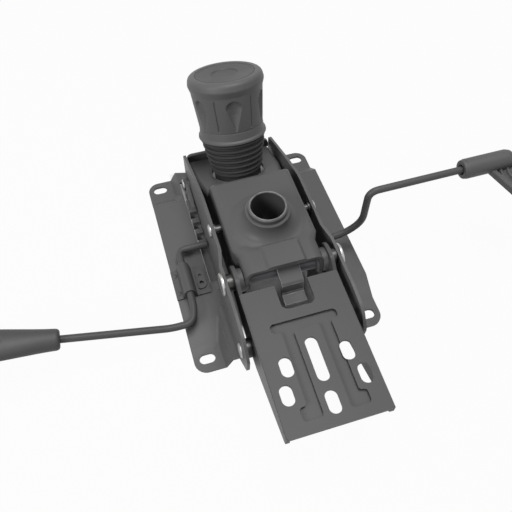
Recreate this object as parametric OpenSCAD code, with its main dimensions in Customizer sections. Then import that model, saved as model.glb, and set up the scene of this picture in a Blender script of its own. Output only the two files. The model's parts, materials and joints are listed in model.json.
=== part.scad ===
// Office chair tilt mechanism, lying on its seat face with its underside up.
// Origin: centre of the four seat bolts on the seat face. +X right, +Y to the chair's front, +Z away from the seat.

/* [Seat brackets] */
// Distance between the seat bolts across the chair
seat_bolt_x = 150; // [140:1:160]
// Distance between the seat bolts from front to rear
seat_bolt_y = 200; // [190:1:210]
// Width of the seat bolt slots
bolt_slot_w = 9; // [7:0.5:10]
// Length of the seat bolt slots
bolt_slot_l = 14; // [12:0.5:18]
// Width over both seat brackets
seat_w = 174; // [168:1:190]
// Metal left in front of the front bolts
front_margin = 10; // [9:1:16]
// Metal left behind the rear bolts
rear_margin = 12; // [9:1:16]
// Thickness of the seat bracket steel
sheet = 2.5; // [2:0.1:3]
// Height of the raised panel between the corner pads
panel_h = 13.5; // [12:0.5:15]
// Distance from the middle to the inner face of the side walls at the front
wall_in = 43.5; // [43:0.5:46]
// Gap between the bracket's ears and the side walls
wall_gap = 5.7; // [5:0.1:6.5]
// Height of the side walls at the middle
wall_top = 78.5; // [77:0.5:84]

/* [Tilt axle] */
// Distance of the tilt axle behind the seat bolt centre
axle_back = 71.5; // [70:0.5:73]
// Height of the tilt axle over the seat face
axle_z = 69; // [67.5:0.5:70]
// Diameter of the tilt axle
axle_d = 12; // [10:0.5:13]
// Diameter of the rings on the axle's ends
head_d = 20; // [18:0.5:21]
// Diameter of the link pins' heads
pin_head_d = 13; // [12:0.5:16]
// Thickness of the axle rings and pin heads
head_t = 2.5; // [1.5:0.25:3]
// Tilt of the seat against the housing in degrees
tilt_max = 9; // [6:0.5:9]

/* [Back bracket] */
// Thickness of the back bracket steel
back_sheet = 3; // [2.5:0.1:3.5]
// Gap between the housing's cheeks and the bracket's ears
ear_gap = 5.1; // [4.5:0.1:5.5]
// Distance of the bracket's rear edge behind the seat bolt centre
back_end = 206; // [200:1:220]
// Height of the bracket's face at its front edge
back_front_z = 75; // [74:0.5:76]
// Height of the bracket's face at its rear edge
back_rear_z = 68; // [66:0.5:70]
// Width of the slots for the back upright
back_slot_w = 10; // [8:0.5:11]
// Distance of the link pins behind the seat bolt centre
link_back = 121; // [119:0.5:124]
// Height of the link pins
link_z = 47; // [45:0.5:50]
// Diameter of the link pins
link_d = 10; // [8:0.5:11]

/* [Housing] */
// Thickness of the housing steel
shell = 3; // [2.5:0.1:3.5]
// Width of the housing at the gas lift socket
housing_w = 73; // [71:0.5:75]
// Width of the housing between the bracket's ears
housing_rear_w = 66.4; // [64:0.2:67]
// Height of the housing's floor
floor_z = 85; // [84:0.5:87]
// Distance of the gas lift socket behind the seat bolt centre
socket_back = 31.7; // [30:0.1:33]
// Diameter of the gas lift socket's bore
socket_d = 28; // [27:0.1:29]
// Wall of the gas lift socket
socket_wall = 2.2; // [1.8:0.1:2.6]
// Height of the socket's mouth over the floor
socket_rise = 20.5; // [18:0.5:24]

/* [Tension knob] */
// Lean of the knob's axis to the front in degrees
knob_lean = 21; // [20:0.5:22]
// Place of the knob's axis on the front deck, from the seat bolt centre
deck_y = 62; // [61:0.5:63]
// Height of the deck at the knob's axis
deck_z = 50; // [49:0.5:51]
// Height of the ribbed boot
boot_h = 40; // [38:0.5:42]
// Radius of the boot at its base
boot_r = 24.5; // [24:0.5:26]
// Radius of the boot's top rim
boot_top_r = 30; // [29:0.2:30.6]
// Number of ribs on the boot
boot_ribs = 6; // [4:1:6]
// Largest radius of the knob
knob_r = 34.2; // [33:0.2:36]
// Height of the knob
knob_h = 56.5; // [54:0.5:60]
// Number of finger grooves round the knob
grooves = 6; // [5:1:8]
// Diameter of the tension bolt
bolt_d = 10; // [8:0.5:11]
// Wire of the main spring
wire_d = 5.5; // [5:0.25:5.75]
// Mean radius of the main spring
spring_r = 16.8; // [16:0.1:17]
// Turns of the main spring
spring_turns = 5; // [4:0.5:5]
// Travel of the knob along the bolt
knob_travel = 2.25; // [1:0.25:2.5]

/* [Levers] */
// Diameter of the lever rods
rod_d = 6.5; // [6:0.25:7]
// Pitch of the lock comb's teeth
tooth_pitch = 13.6; // [12:0.1:14]
// Length of one tooth of the lock comb
tooth_l = 6; // [5:0.1:6.4]
// Length of the lock lever's handle
handle_l = 104; // [95:1:115]
// Width of the lock lever's handle
handle_w = 32; // [28:1:34]
// Length of the release lever's handle
wing_l = 70; // [60:1:80]
// Width of the release lever's wing, from the rod's middle
wing_w = 47; // [40:1:52]

/* [Clearances] */
// Radial clearance of a running fit
run_fit = 0.05; // [0.02:0.01:0.1]
// Gap between pieces that pass each other
gap = 0.5; // [0.3:0.05:0.8]

/* [Hidden] */
$fn = 64;

axle_y = -axle_back;
link_y = -link_back;
socket_y = -socket_back;
axle_r = axle_d / 2;
rod_r = rod_d / 2;
bolt_r = bolt_d / 2;
half_bolt_x = seat_bolt_x / 2;
half_bolt_y = seat_bolt_y / 2;
seat_front = half_bolt_y + front_margin;
seat_rear = -half_bolt_y - rear_margin;
seat_half = seat_w / 2;
wall_out = wall_in + sheet;
housing_half = housing_w / 2;
rear_half = housing_rear_w / 2;
ear_in = rear_half + ear_gap;
back_half = ear_in + back_sheet;
rear_in = back_half + wall_gap;
rear_out = rear_in + sheet;
wall_joggle = rear_in - wall_in;
mouth_z = floor_z + socket_rise;

// Side walls: where the step beside the back bracket starts and ends
joggle_front = axle_y + 28.5;
joggle_rear = axle_y + 12.5;
front_wall_y = seat_front - 9;

// Housing: outline stations from the rear edge to the front lip
rear_edge_y = axle_y - 7.5;
neck_y = axle_y + 17.5;
fold_y = deck_y - 44;
deck_start_y = deck_y - 30;
lip_y = deck_y + 39 - shell;
deck_half = wall_in - 2 * gap;
shoulder_r = 4.5;
rear_shoulder_r = 8;
boss_r = 32.6;
collar_r = socket_d / 2 + socket_wall + 2.6;
collar_h = socket_rise - 5.3;
housing_low = 20;
rear_top = floor_z + 1.5;
deck_slope = tan(knob_lean);

// Knob axis: the tilt pulls the trunnion along it, square to the axle
knob_dir = [0, sin(knob_lean), cos(knob_lean)];
deck_point = [0, deck_y, deck_z];
trunnion_s = (axle_y - deck_y) * sin(knob_lean) + (axle_z - deck_z) * cos(knob_lean);
trunnion_r = 8;
trunnion_half = 21;
trunnion_y = deck_y + trunnion_s * sin(knob_lean);
trunnion_z = deck_z + trunnion_s * cos(knob_lean);
nut_h = 7;
nut_af = 17;
washer_t = 2.5;
cup_t = 2.5;
spring_bottom = cup_t + 0.3;
spring_top = spring_bottom + 58.5;
hub_s = spring_top + 0.3 + washer_t + 0.3;
skirt_s = boot_h - 0.5;
boot_tube_r = boot_top_r - 3;
boot_tube_top = boot_h + 2.5;
skirt_depth = boot_tube_top - skirt_s + knob_travel + 0.4;
lip_t = 2;
collar_s = skirt_s + 10.5;
brim_s = skirt_s + knob_h - 13;
waist_r = boot_top_r - 0.6;
bolt_top = skirt_s + knob_h - 12;
knob_top = skirt_s + knob_h;
cap_t = 4;
cap_r = knob_r - 7.6;

// Spring bridge, which presses the trunnion down when the seat tilts
bridge_t = 4;
bridge_z = trunnion_z + trunnion_r + 0.4;
bridge_y = trunnion_y + (trunnion_r + bridge_t / 2) * deck_slope;
bridge_half_l = 12;
front_low = bridge_z + bridge_t + 0.6;

// Stop pins
stop_arm = 54.5;
stop_y = axle_y + stop_arm;
stop_z = axle_z + 1;
stop_d = 8;
stop_travel = stop_arm * tilt_max * PI / 180;
stop_drift = 0.3;

// Lock lever: the journal lies in the clip and the tip drops between the comb's teeth
journal_x = -75;
journal_z = panel_h + 8;
journal_rear = -45;
tip_y = 5.5;
tip_x = -wall_out - 1.2;
clip_front = -12;
clip_rear = -43;
clip_t = 2;
lock_swing = 12;
tip_arm = -journal_x - (wall_out + 5);
tip_drop = tip_arm * sin(lock_swing);
tooth_top = journal_z - rod_r - 0.8;
notch_floor = journal_z - rod_r - tip_drop - 1.4;
comb_low = 6.5;
comb_out = wall_out + 7.5;
comb_in = wall_out + 0.7;
teeth = 4;
comb_travel = (teeth - 1) * tooth_pitch;
first_tooth_y = tip_y + tooth_pitch / 2;
comb_pin_y = 85;
comb_pin_z = 19;
comb_pin_d = 8;
comb_slot_z = comb_pin_z;
window_out = comb_out + 0.8;
comb_tail_y = first_tooth_y - tooth_l / 2 - comb_travel - 2;
comb_tail_top = panel_h - sheet - 0.4;
comb_body_y = comb_pin_y - 15;

// Release lever: rocks on a cross pin inside the housing and presses the valve of the gas lift
release_y = -29;
release_x = 22;
release_z = 30;
release_pin_d = 5;
release_swing = 9;

lock_path = [[-205.2, -64.2, journal_z + 22.3], [-98, -72, journal_z - 1], [-79.6, -72, journal_z - 1],
             [journal_x, -58, journal_z - 0.2], [journal_x, journal_rear, journal_z]];
tip_path = [[journal_x, clip_front + 2, journal_z], [journal_x, tip_y, journal_z], [tip_x, tip_y, journal_z]];
release_path = [[-4, release_y, release_z], [release_x + 20, release_y, release_z],
                [78, release_y, release_z + 4], [93, release_y, release_z + 16],
                [93, release_y, release_z + 57], [199, release_y, release_z + 57]];

steel_grey = [0.23, 0.23, 0.24];
black_plastic = [0.16, 0.16, 0.17];
zinc = [0.78, 0.78, 0.76];

// Corner of an outline turned into an arc: previous, this and next point, each [x, y, radius]
function unit(v) = v / norm(v);
function corner(p, c, n) =
    let (u = unit([p.x - c.x, p.y - c.y]), v = unit([n.x - c.x, n.y - c.y]),
         half = acos(max(-1, min(1, u * v))) / 2,
         t = c[2] / tan(half), steps = 7)
    c[2] == 0 ? [[c.x, c.y]] :
    let (mid = [c.x, c.y] + unit(u + v) * c[2] / sin(half),
         a = [c.x, c.y] + u * t - mid, b = [c.x, c.y] + v * t - mid)
    [for (i = [0 : steps]) let (k = i / steps, w = a * (1 - k) + b * k) mid + unit(w) * c[2]];
function rounded(pts) =
    let (n = len(pts))
    [for (i = [0 : n - 1]) each corner(pts[(i + n - 1) % n], pts[i], pts[(i + 1) % n])];

// Path in space with its corners eased over the given length
function eased(pts, ease, steps = 6) = concat([pts[0]],
    [for (i = [1 : len(pts) - 2])
        let (c = pts[i], a = c + unit(pts[i - 1] - c) * ease, b = c + unit(pts[i + 1] - c) * ease)
        for (j = [0 : steps]) let (k = j / steps) a * (1 - k) * (1 - k) + c * 2 * k * (1 - k) + b * k * k],
    [pts[len(pts) - 1]]);

// Tube of one unbroken skin along a path
function heading(p, i) = unit(p[min(i + 1, len(p) - 1)] - p[max(i - 1, 0)]);
function sideways(t, ref) = unit(cross(t, abs(t * ref) > 0.95 ? [0, 0, 1] : ref));
module tube(path, r, sides, ref = [0, 1, 0]) {
    n = len(path);
    points = [for (i = [0 : n - 1])
        let (t = heading(path, i), s = sideways(t, ref), u = cross(s, t))
        for (j = [0 : sides - 1]) path[i] + r * (cos(360 * j / sides) * s + sin(360 * j / sides) * u)];
    skin = [for (i = [0 : n - 2], j = [0 : sides - 1])
        let (a = i * sides + j, b = i * sides + (j + 1) % sides)
        each [[a, b, b + sides], [a, b + sides, a + sides]]];
    ends = [[for (j = [0 : sides - 1]) sides - 1 - j], [for (j = [0 : sides - 1]) (n - 1) * sides + j]];
    polyhedron(points, concat(skin, ends), convexity = 10);
}

module both_sides() {
    children();
    mirror([1, 0, 0]) children();
}
// Cylinder along X from x0 to x1
module rod_x(x0, x1, r, y, z) translate([x0, y, z]) rotate([0, 90, 0]) cylinder(r = r, h = x1 - x0);
module ring_x(x0, x1, r_out, r_in, y, z) translate([x0, y, z]) rotate([0, 90, 0]) difference() {
    cylinder(r = r_out, h = x1 - x0);
    translate([0, 0, -1]) cylinder(r = r_in, h = x1 - x0 + 2);
}
// Lens-shaped head on a wall that faces X
module head_x(x, r, t, y, z) translate([x, y, z]) rotate([0, 90, 0]) rotate_extrude() polygon(concat(
    [[0, 0], [r - 0.4, 0], [r, 0.4]], [for (a = [0 : 15 : 90]) [r * cos(a), t * (0.4 + 0.6 * sin(a))]]));
// Slot cut through a wall that faces X, between two points [y, z]
module slot_x(x0, x1, r, a, b) {
    for (p = [a, b]) rod_x(x0, x1, r, p.x, p.y);
    translate([x0, a.x, a.y]) rotate([atan2(b.y - a.y, b.x - a.x), 0, 0])
        translate([0, 0, -r]) cube([x1 - x0, norm(b - a), 2 * r]);
}
// Outline in the YZ plane, extruded along X
module side_form(x0, x1, pts) translate([x0, 0, 0]) rotate([90, 0, 90])
    linear_extrude(height = x1 - x0) polygon(rounded(pts));
// Shapes that stand on the deck, along the knob's axis
module on_knob_axis() translate(deck_point) rotate([-knob_lean, 0, 0]) children();

// Solid between outlines of the same number of points
module loft(rows) {
    n = len(rows[0]);
    m = len(rows);
    skin = [for (i = [0 : m - 2], j = [0 : n - 1])
        let (a = i * n + j, b = i * n + (j + 1) % n)
        each [[a, b, b + n], [a, b + n, a + n]]];
    ends = [[for (j = [0 : n - 1]) n - 1 - j], [for (j = [0 : n - 1]) (m - 1) * n + j]];
    polyhedron([for (r = rows) each r], concat(skin, ends), convexity = 6);
}

// Corner pocket with sloping sides, pressed into the seat panel: steep at the front, a long ramp at the rear
module pad_pocket(low, high, grow, sign) {
    rise = panel_h - sheet;
    ramp = sign > 0 ? 13 : 20;
    x0 = half_bolt_x - 13;
    y0 = half_bolt_y - (sign > 0 ? 15.5 : 15);
    function back(z, run) = (z - sheet + grow * norm([1, rise / run])) * run / rise;
    function rim(z) = let (x = x0 - back(z, 6), y = y0 - back(z, ramp)) [for (p = rounded([
        [x, y, 6], [x, y0 + 60, 0], [x0 + 60, y0 + 60, 0], [x0 + 60, y, 0]])) [p.x, p.y, z]];
    mirror([0, sign > 0 ? 0 : 1, 0]) loft([rim(low), rim(high)]);
}
module seat_slots() for (y = [-half_bolt_y, half_bolt_y]) translate([half_bolt_x, y, -1]) {
    reach = (bolt_slot_l - bolt_slot_w) / 2;
    for (x = [-reach, reach]) translate([x, 0, 0]) cylinder(d = bolt_slot_w, h = panel_h + 2);
    translate([-reach, -bolt_slot_w / 2, 0]) cube([2 * reach, bolt_slot_w, panel_h + 2]);
}
module seat_plan(h) linear_extrude(height = h) polygon(rounded([
    [wall_in, seat_front - 4, 0], [wall_in, seat_rear, 0],
    [seat_half, seat_rear, 11], [seat_half, seat_front, 11], [wall_in + 14, seat_front, 8]]));
module seat_panel() difference() {
    seat_plan(panel_h);
    for (s = [1, -1]) pad_pocket(sheet, panel_h + 0.1, 0, s);
    difference() {
        translate([0, 0, -1]) linear_extrude(height = panel_h - sheet + 1)
            translate([wall_out, -seat_w]) square([seat_w, 2 * seat_w]);
        for (s = [1, -1]) pad_pocket(-1.5, panel_h - sheet + 0.2, sheet, s);
    }
    translate([0, -seat_w, -1]) cube([wall_out, 2 * seat_w, panel_h - sheet + 1]);
    seat_slots();
}
module side_wall() intersection() {
    linear_extrude(height = 2 * wall_top) polygon([
        [wall_in, seat_front], [wall_out, seat_front], [wall_out, joggle_front + 0.4],
        [rear_out, joggle_rear + 0.4], [rear_out, -2 * link_back], [rear_in, -2 * link_back],
        [rear_in, joggle_rear - 0.4], [wall_in, joggle_front - 0.4]]);
    side_form(wall_in - 1, rear_out + 1, [
        [front_wall_y, panel_h - sheet, 0], [front_wall_y, 46, 6], [51, 66, 40], [14, wall_top, 40],
        [link_y + 17, wall_top - 2, 30], [link_y - 6, link_z + 26, 16], [link_y - 17, link_z + 10, 10],
        [link_y - 15, link_z - 9, 10], [seat_rear + 2, panel_h - sheet, 0]]);
}
// Rounded bend between the panel and the wall
module bend_fillet() {
    r = 5;
    rear_y = joggle_rear - 2;
    module strip(x, y0, y1) translate([x, y1, panel_h]) rotate([90, 0, 0]) linear_extrude(height = y1 - y0)
        difference() {
            square(r);
            translate([r, r]) circle(r);
        }
    strip(wall_out, joggle_front + 1, front_wall_y);
    strip(rear_out, seat_rear, rear_y);
}
module seat_bracket() {
    seat_panel();
    side_wall();
    bend_fillet();
    translate([wall_in, seat_rear, panel_h - sheet])
        cube([wall_joggle + sheet, joggle_front - seat_rear, sheet]);
}
module wall_bores() {
    rod_x(wall_in - 1, rear_out + 1, axle_r + run_fit, axle_y, axle_z);
    rod_x(wall_in - 1, rear_out + 1, link_d / 2 + run_fit, link_y, link_z);
    rod_x(wall_in - 1, rear_out + 1, stop_d / 2 + run_fit, stop_y, stop_z);
}
module seat_bracket_right() color(steel_grey) difference() {
    seat_bracket();
    wall_bores();
    // window for the release rod, which moves with the housing and rocks
    side_form(wall_in - 1, rear_out + 1, [
        [release_y - 8, release_z - 10, 5], [release_y - 8, release_z + 13, 5],
        [release_y + 14, release_z + 13, 5], [release_y + 14, release_z - 10, 5]]);
}
module seat_bracket_left() color(steel_grey) difference() {
    mirror([1, 0, 0]) seat_bracket();
    mirror([1, 0, 0]) wall_bores();
    // slot for the comb's pin and window for the comb and the lever's tip
    slot_x(-rear_out - 1, -wall_in + 1, comb_pin_d / 2 + gap,
           [comb_pin_y + 1, comb_slot_z], [comb_pin_y - comb_travel - 1, comb_slot_z]);
    translate([-window_out, comb_tail_y + 1, -1])
        cube([window_out - wall_out, comb_pin_y + 9 - comb_tail_y, panel_h + 7]);
}

// Back bracket: channel with ears on the tilt axle and lobes on the link pins
web_slope = atan((back_front_z - back_rear_z) / (back_end - 88));
web_front = -88;
bend_edge = 0.7;
module on_web() translate([0, web_front, back_front_z]) rotate([web_slope, 0, 0]) children();
module web_slot(x, y, l) {
    reach = (l - back_slot_w) / 2;
    for (s = [-reach, reach]) translate([x, y + s, -back_sheet - 1]) cylinder(d = back_slot_w, h = 3 * back_sheet);
    translate([x - back_slot_w / 2, y - reach, -back_sheet - 1]) cube([back_slot_w, 2 * reach, 3 * back_sheet]);
}
module back_flange() difference() {
    side_form(ear_in, back_half, [
        [web_front - 0.5, back_front_z - bend_edge, 0], [bend_edge - back_end, back_rear_z - bend_edge, 0],
        [bend_edge - back_end, back_rear_z - 11, 5],
        [link_y - 14, link_z - 11, 12], [link_y + 12, link_z - 13, 12], [axle_y + 13, axle_z - 15, 13],
        [axle_y + 14, axle_z + 13, 13.5], [axle_y - 9, axle_z + 13, 8]]);
    rod_x(ear_in - 1, back_half + 1, axle_r + run_fit, axle_y, axle_z);
    rod_x(ear_in - 1, back_half + 1, link_d / 2 + run_fit, link_y, link_z);
}
// Shallow pressed relief round the slots
module web_relief() {
    depth = 0.6;
    translate([0, 0, -depth]) linear_extrude(height = depth + 1) difference() {
        polygon(rounded([[-25, -31.5, 3], [25, -31.5, 3], [25, -41, 3], [19.5, -45, 3], [19.5, -113, 3],
                         [-19.5, -113, 3], [-19.5, -45, 3], [-25, -41, 3]]));
        polygon(rounded([[-10, -46, 3], [10, -46, 3], [10, -93, 3], [-10, -93, 3]]));
    }
}
module back_bracket() color(steel_grey) {
    on_web() difference() {
        translate([0, 0, -back_sheet]) linear_extrude(height = back_sheet) difference() {
            polygon(rounded([[bend_edge - back_half, 0, 0], [bend_edge - back_half, -(back_end + web_front), 3],
                             [back_half - bend_edge, -(back_end + web_front), 3], [back_half - bend_edge, 0, 0]]));
            polygon(rounded([[-12.1, 5, 0], [-12.1, -22.4, 5.5], [15.6, -22.4, 5.5], [15.6, 5, 0]]));
        }
        web_relief();
        for (s = [-1, 1]) {
            web_slot(s * 24.2, -67, 16);
            web_slot(s * 30.5, -87.5, 16);
        }
        web_slot(0, -101, 18);
        web_slot(0, -67, 36);
    }
    both_sides() back_flange();
}

// Tilt axle: fixed in the side walls and the bracket's ears, the housing turns on it
module tilt_axle() color(steel_grey) {
    rod_x(-rear_out - head_t, rear_out + head_t, axle_r, axle_y, axle_z);
}
module axle_rings() color(zinc) both_sides()
    ring_x(rear_out, rear_out + head_t, head_d / 2, axle_r + run_fit, axle_y, axle_z);
module ear_spacers() color(zinc) both_sides()
    ring_x(back_half, rear_in, axle_r + 1.4, axle_r + run_fit, axle_y, axle_z);
module link_pins() color(zinc) both_sides() {
    rod_x(ear_in, rear_out, link_d / 2, link_y, link_z);
    head_x(rear_out, pin_head_d / 2, head_t, link_y, link_z);
    rod_x(ear_in - head_t, ear_in, pin_head_d / 2, link_y, link_z);
}
module link_spacers() color(zinc) both_sides()
    ring_x(back_half, rear_in, link_d / 2 + 3, link_d / 2 + run_fit, link_y, link_z);
module stop_pins() color(zinc) both_sides() {
    rod_x(housing_half - shell - 1, wall_out, stop_d / 2, stop_y, stop_z);
    head_x(wall_out, stop_d / 2 + 2, head_t, stop_y, stop_z);
    rod_x(wall_in - 2, wall_in, stop_d / 2 + 1.5, stop_y, stop_z);
}
module spring_bridge() color(steel_grey) difference() {
    translate([-wall_in, bridge_y - bridge_half_l, bridge_z]) cube([2 * wall_in, 2 * bridge_half_l, bridge_t]);
    for (s = [-2.5, 2.5]) translate([0, bridge_y + s, bridge_z - 1]) cylinder(r = bolt_r + 1.5, h = bridge_t + 2);
    translate([-bolt_r - 1.5, bridge_y - 2.5, bridge_z - 1]) cube([2 * bolt_r + 3, 5, bridge_t + 2]);
}

// Lever clip: a pressed strap that holds the lock lever's journal on the panel
module clip_section(r) {
    foot = panel_h + clip_t;
    polygon(concat([[-12.4, panel_h], [-12.4, foot], [-r - 1.5, foot]],
        [for (a = [180 : -15 : 0]) [r * cos(a), journal_z + r * sin(a)]],
        [[r + 1.5, foot], [19, foot], [19, panel_h]]));
}
module lever_clip() color(steel_grey) difference() {
    union() {
        translate([journal_x, clip_front, 0]) rotate([90, 0, 0])
            linear_extrude(height = clip_front - clip_rear) clip_section(rod_r + run_fit + clip_t);
        translate([journal_x + 9, clip_rear + 5, panel_h + clip_t - 0.5]) linear_extrude(height = 2)
            polygon(rounded([[0, 0, 2], [8, 0, 4], [8, 21, 4], [0, 21, 2]]));
    }
    translate([journal_x, clip_front + 1, journal_z]) rotate([90, 0, 0])
        cylinder(r = rod_r + run_fit, h = clip_front - clip_rear + 2);
    translate([journal_x - 1.4, clip_rear - 1, panel_h - 1]) cube([2.8, clip_front - clip_rear + 2, journal_z - panel_h - 1.5]);
    for (y = [clip_rear + 6, clip_front - 6]) translate([journal_x - 9.5, y, panel_h - 1])
        cylinder(r = 1.5 + run_fit, h = 9);
    translate([journal_x + 13, clip_rear + 11, panel_h - 1]) cylinder(r = 2 + run_fit, h = 9);
    translate([journal_x + 13, clip_rear + 19, panel_h + clip_t - 0.4]) cylinder(r = 1.8, h = 9);
}
module clip_rivets() color(steel_grey) for (y = [clip_rear + 6, clip_front - 6])
    translate([journal_x - 9.5, y, panel_h]) {
        cylinder(r = 1.5, h = clip_t);
        translate([0, 0, clip_t]) rotate_extrude() intersection() {
            translate([0, -1.9]) circle(3.2);
            square([2.4, 3]);
        }
    }

// Housing: pressed shell, open to the seat, with the socket boss, the sloping front deck and its lip
function deck_at(y) = deck_z - (y - deck_y) * deck_slope;
function shell_row(y, half, top, r) = [for (p = rounded([
    [half, 0, 0], [half, top, r], [-half, top, r], [-half, 0, 0]])) [p.x, y, p.y]];
// Filled form of the housing, drawn in by the given amount
module housing_form(inset) {
    r = shoulder_r - inset;
    edge = 4.5 - inset;
    loft([
        shell_row(rear_edge_y - 2 * inset, rear_half - inset, rear_top - inset, rear_shoulder_r - inset),
        shell_row(neck_y - 5, rear_half - inset, rear_top - inset, rear_shoulder_r - inset),
        shell_row(neck_y + 3, housing_half - inset, floor_z - inset, r),
        shell_row(fold_y - inset * 0.6, housing_half - inset, floor_z - inset, r),
        shell_row(deck_start_y, housing_half + 1.5 - inset, deck_at(deck_start_y) - inset * 1.2, edge),
        shell_row(deck_y, deck_half - inset, deck_at(deck_y) - inset * 1.07, edge),
        shell_row(lip_y + 1 - inset, deck_half - inset, deck_at(lip_y + 1 - inset) - inset * 1.07, edge)]);
}
// Boss: a low step, then one hollow curve up to the collar round the socket
module housing_boss() translate([0, socket_y, floor_z]) rotate_extrude() polygon(concat(
    [[socket_d / 2 + socket_wall, 0.5 - shell], [boss_r - 0.5, 0.5 - shell], [boss_r, 0], [boss_r - 2.6, 0.9]],
    [for (a = [0 : 10 : 90]) let (foot_r = boss_r - 3.6)
        [foot_r - (foot_r - collar_r) * sin(a), collar_h - (collar_h - 1) * cos(a)]],
    [[collar_r - 0.5, collar_h + 0.4], [socket_d / 2 + socket_wall, collar_h + 0.4]]));
// Raised strip behind the boss, with sloping sides and front
module rear_strip() {
    function rim(z, draw) = [for (p = rounded([
        [1.7 - 18 + draw, rear_edge_y - 5, 0], [1.7 - 18 + draw, neck_y - draw, 3],
        [1.7 + 18 - draw, neck_y - draw, 3], [1.7 + 18 - draw, rear_edge_y - 5, 0]])) [p.x, p.y, z]];
    loft([rim(rear_top - 1, 0), rim(rear_top + 2, 3.8)]);
}
module front_lip() translate([0, lip_y, 0]) rotate([-90, 0, 0]) linear_extrude(height = shell) mirror([0, 1, 0])
    polygon(rounded([[-deck_half, front_low, 0], [-deck_half, 45, 5], [deck_half, 45, 5], [deck_half, front_low, 0]]));
module housing() color(steel_grey) difference() {
    union() {
        difference() {
            union() {
                housing_form(0);
                housing_boss();
                rear_strip();
            }
            housing_form(shell);
            // open rear end with rounded cheeks, and the low edge of the side walls
            translate([-housing_w, rear_edge_y - 40, -1]) cube([2 * housing_w, 40, 2 * floor_z]);
            translate([-housing_w, -link_back, -1]) cube([2 * housing_w, 2 * link_back, housing_low + 1]);
            translate([-housing_w, bridge_y - bridge_half_l - 11, -1]) cube([2 * housing_w, link_back, front_low + 1]);
        }
        front_lip();
        // embossed ring round the boot's foot
        on_knob_axis() rotate_extrude() polygon([[boot_r + 0.6, -1.2], [boot_r + 0.9, 0.8], [boot_r + 2, 0.8],
                                                 [boot_r + 3, -1.2]]);
    }
    translate([0, socket_y, 0]) cylinder(r = socket_d / 2 + socket_wall, h = 2 * floor_z);
    rod_x(-housing_w, housing_w, axle_r + run_fit + 2, axle_y, axle_z);
    on_knob_axis() translate([0, 0, -4 * shell]) cylinder(r = bolt_r + gap, h = 8 * shell);
    both_sides() slot_x(housing_half - 2 * shell, housing_half + shell, stop_d / 2 + gap + stop_drift,
                        [stop_y - stop_drift, stop_z], [stop_y - stop_drift, stop_z - stop_travel]);
    rod_x(housing_half - 2 * shell, housing_half + shell, rod_r + 4, release_y, release_z - 1);
}
module gas_socket() color(steel_grey) translate([0, socket_y, 0]) rotate_extrude() {
    r = socket_d / 2;
    polygon([[r - 0.8, 46], [r + socket_wall, 46], [r + socket_wall, mouth_z - 1], [r + socket_wall - 1, mouth_z],
             [r + 0.4, mouth_z], [r, mouth_z - 0.6], [r, floor_z - 14]]);
}
module axle_bushes() color(black_plastic) both_sides() {
    ring_x(rear_half - shell, rear_half, axle_r + run_fit + 2, axle_r + run_fit, axle_y, axle_z);
    ring_x(rear_half - shell - 2, rear_half - shell, axle_r + 3.2, axle_r + run_fit, axle_y, axle_z);
}
module thrust_rings() color(black_plastic) both_sides()
    ring_x(rear_half + 0.4, ear_in, axle_r + 3.8, axle_r + run_fit, axle_y, axle_z);
// Strip of sheet along a line of [y, z] points, extruded along X
function strip_side(path, off) = [for (i = [0 : len(path) - 1])
    let (a = unit(path[i] - path[max(i - 1, 0)] + (i == 0 ? path[1] - path[0] : [0, 0])),
         b = unit(path[min(i + 1, len(path) - 1)] - path[i] + (i == len(path) - 1 ? path[i] - path[i - 1] : [0, 0])),
         m = unit([-a.y - b.y, a.x + b.x]))
    path[i] + m * off / (m * [-a.y, a.x])];
module bent_strip(x0, x1, path, t) {
    near = strip_side(path, t / 2);
    far = strip_side(path, -t / 2);
    side_form(x0, x1, concat([for (p = near) [p.x, p.y, 0]],
                             [for (i = [len(far) - 1 : -1 : 0]) [far[i].x, far[i].y, 0]]));
}
// Tongue under the floor, bent down into the notch of the back bracket
module stop_tongue() color(steel_grey) {
    half = 9.6;
    t = 2.5;
    top = rear_top - shell - t / 2;
    bent_strip(3.4 - half, 3.4 + half, [
        [neck_y - 5.2, top], [rear_edge_y + 12, top], [rear_edge_y + 6, top - 1.6], [rear_edge_y + 1, top - 6.6],
        [rear_edge_y - 8, top - 8.6], [rear_edge_y - 9.6, top - 10.2], [rear_edge_y - 10, top - 19.4],
        [rear_edge_y - 12, top - 21.4], [rear_edge_y - 21, top - 23]], t);
}
module release_bracket() color(steel_grey) translate([release_x, release_y, release_z]) {
    reach = housing_half - shell - release_x;
    difference() {
        for (s = [-1, 1]) translate([-7, s * 9.5 - 1.25, -8]) cube([reach + 7, 2.5, 20]);
        rotate([90, 0, 0]) translate([0, 0, -20]) cylinder(d = release_pin_d + 2 * run_fit, h = 40);
    }
    translate([reach - 2.5, -10.75, 8]) cube([2.5, 21.5, 4]);
}
module release_pivot() color(zinc) translate([release_x, release_y, release_z]) rotate([90, 0, 0]) {
    translate([0, 0, -10.75]) cylinder(d = release_pin_d, h = 21.5);
    for (z = [-12.25, 10.75]) translate([0, 0, z]) cylinder(d = release_pin_d + 3, h = 1.5);
}

// Spring, boot and knob on the leaning axis
module spring_cup() color(zinc) on_knob_axis() difference() {
    cylinder(r = spring_r + wire_d / 2 + 0.8, h = cup_t);
    translate([0, 0, -1]) cylinder(r = bolt_r + gap, h = cup_t + 2);
}
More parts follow.
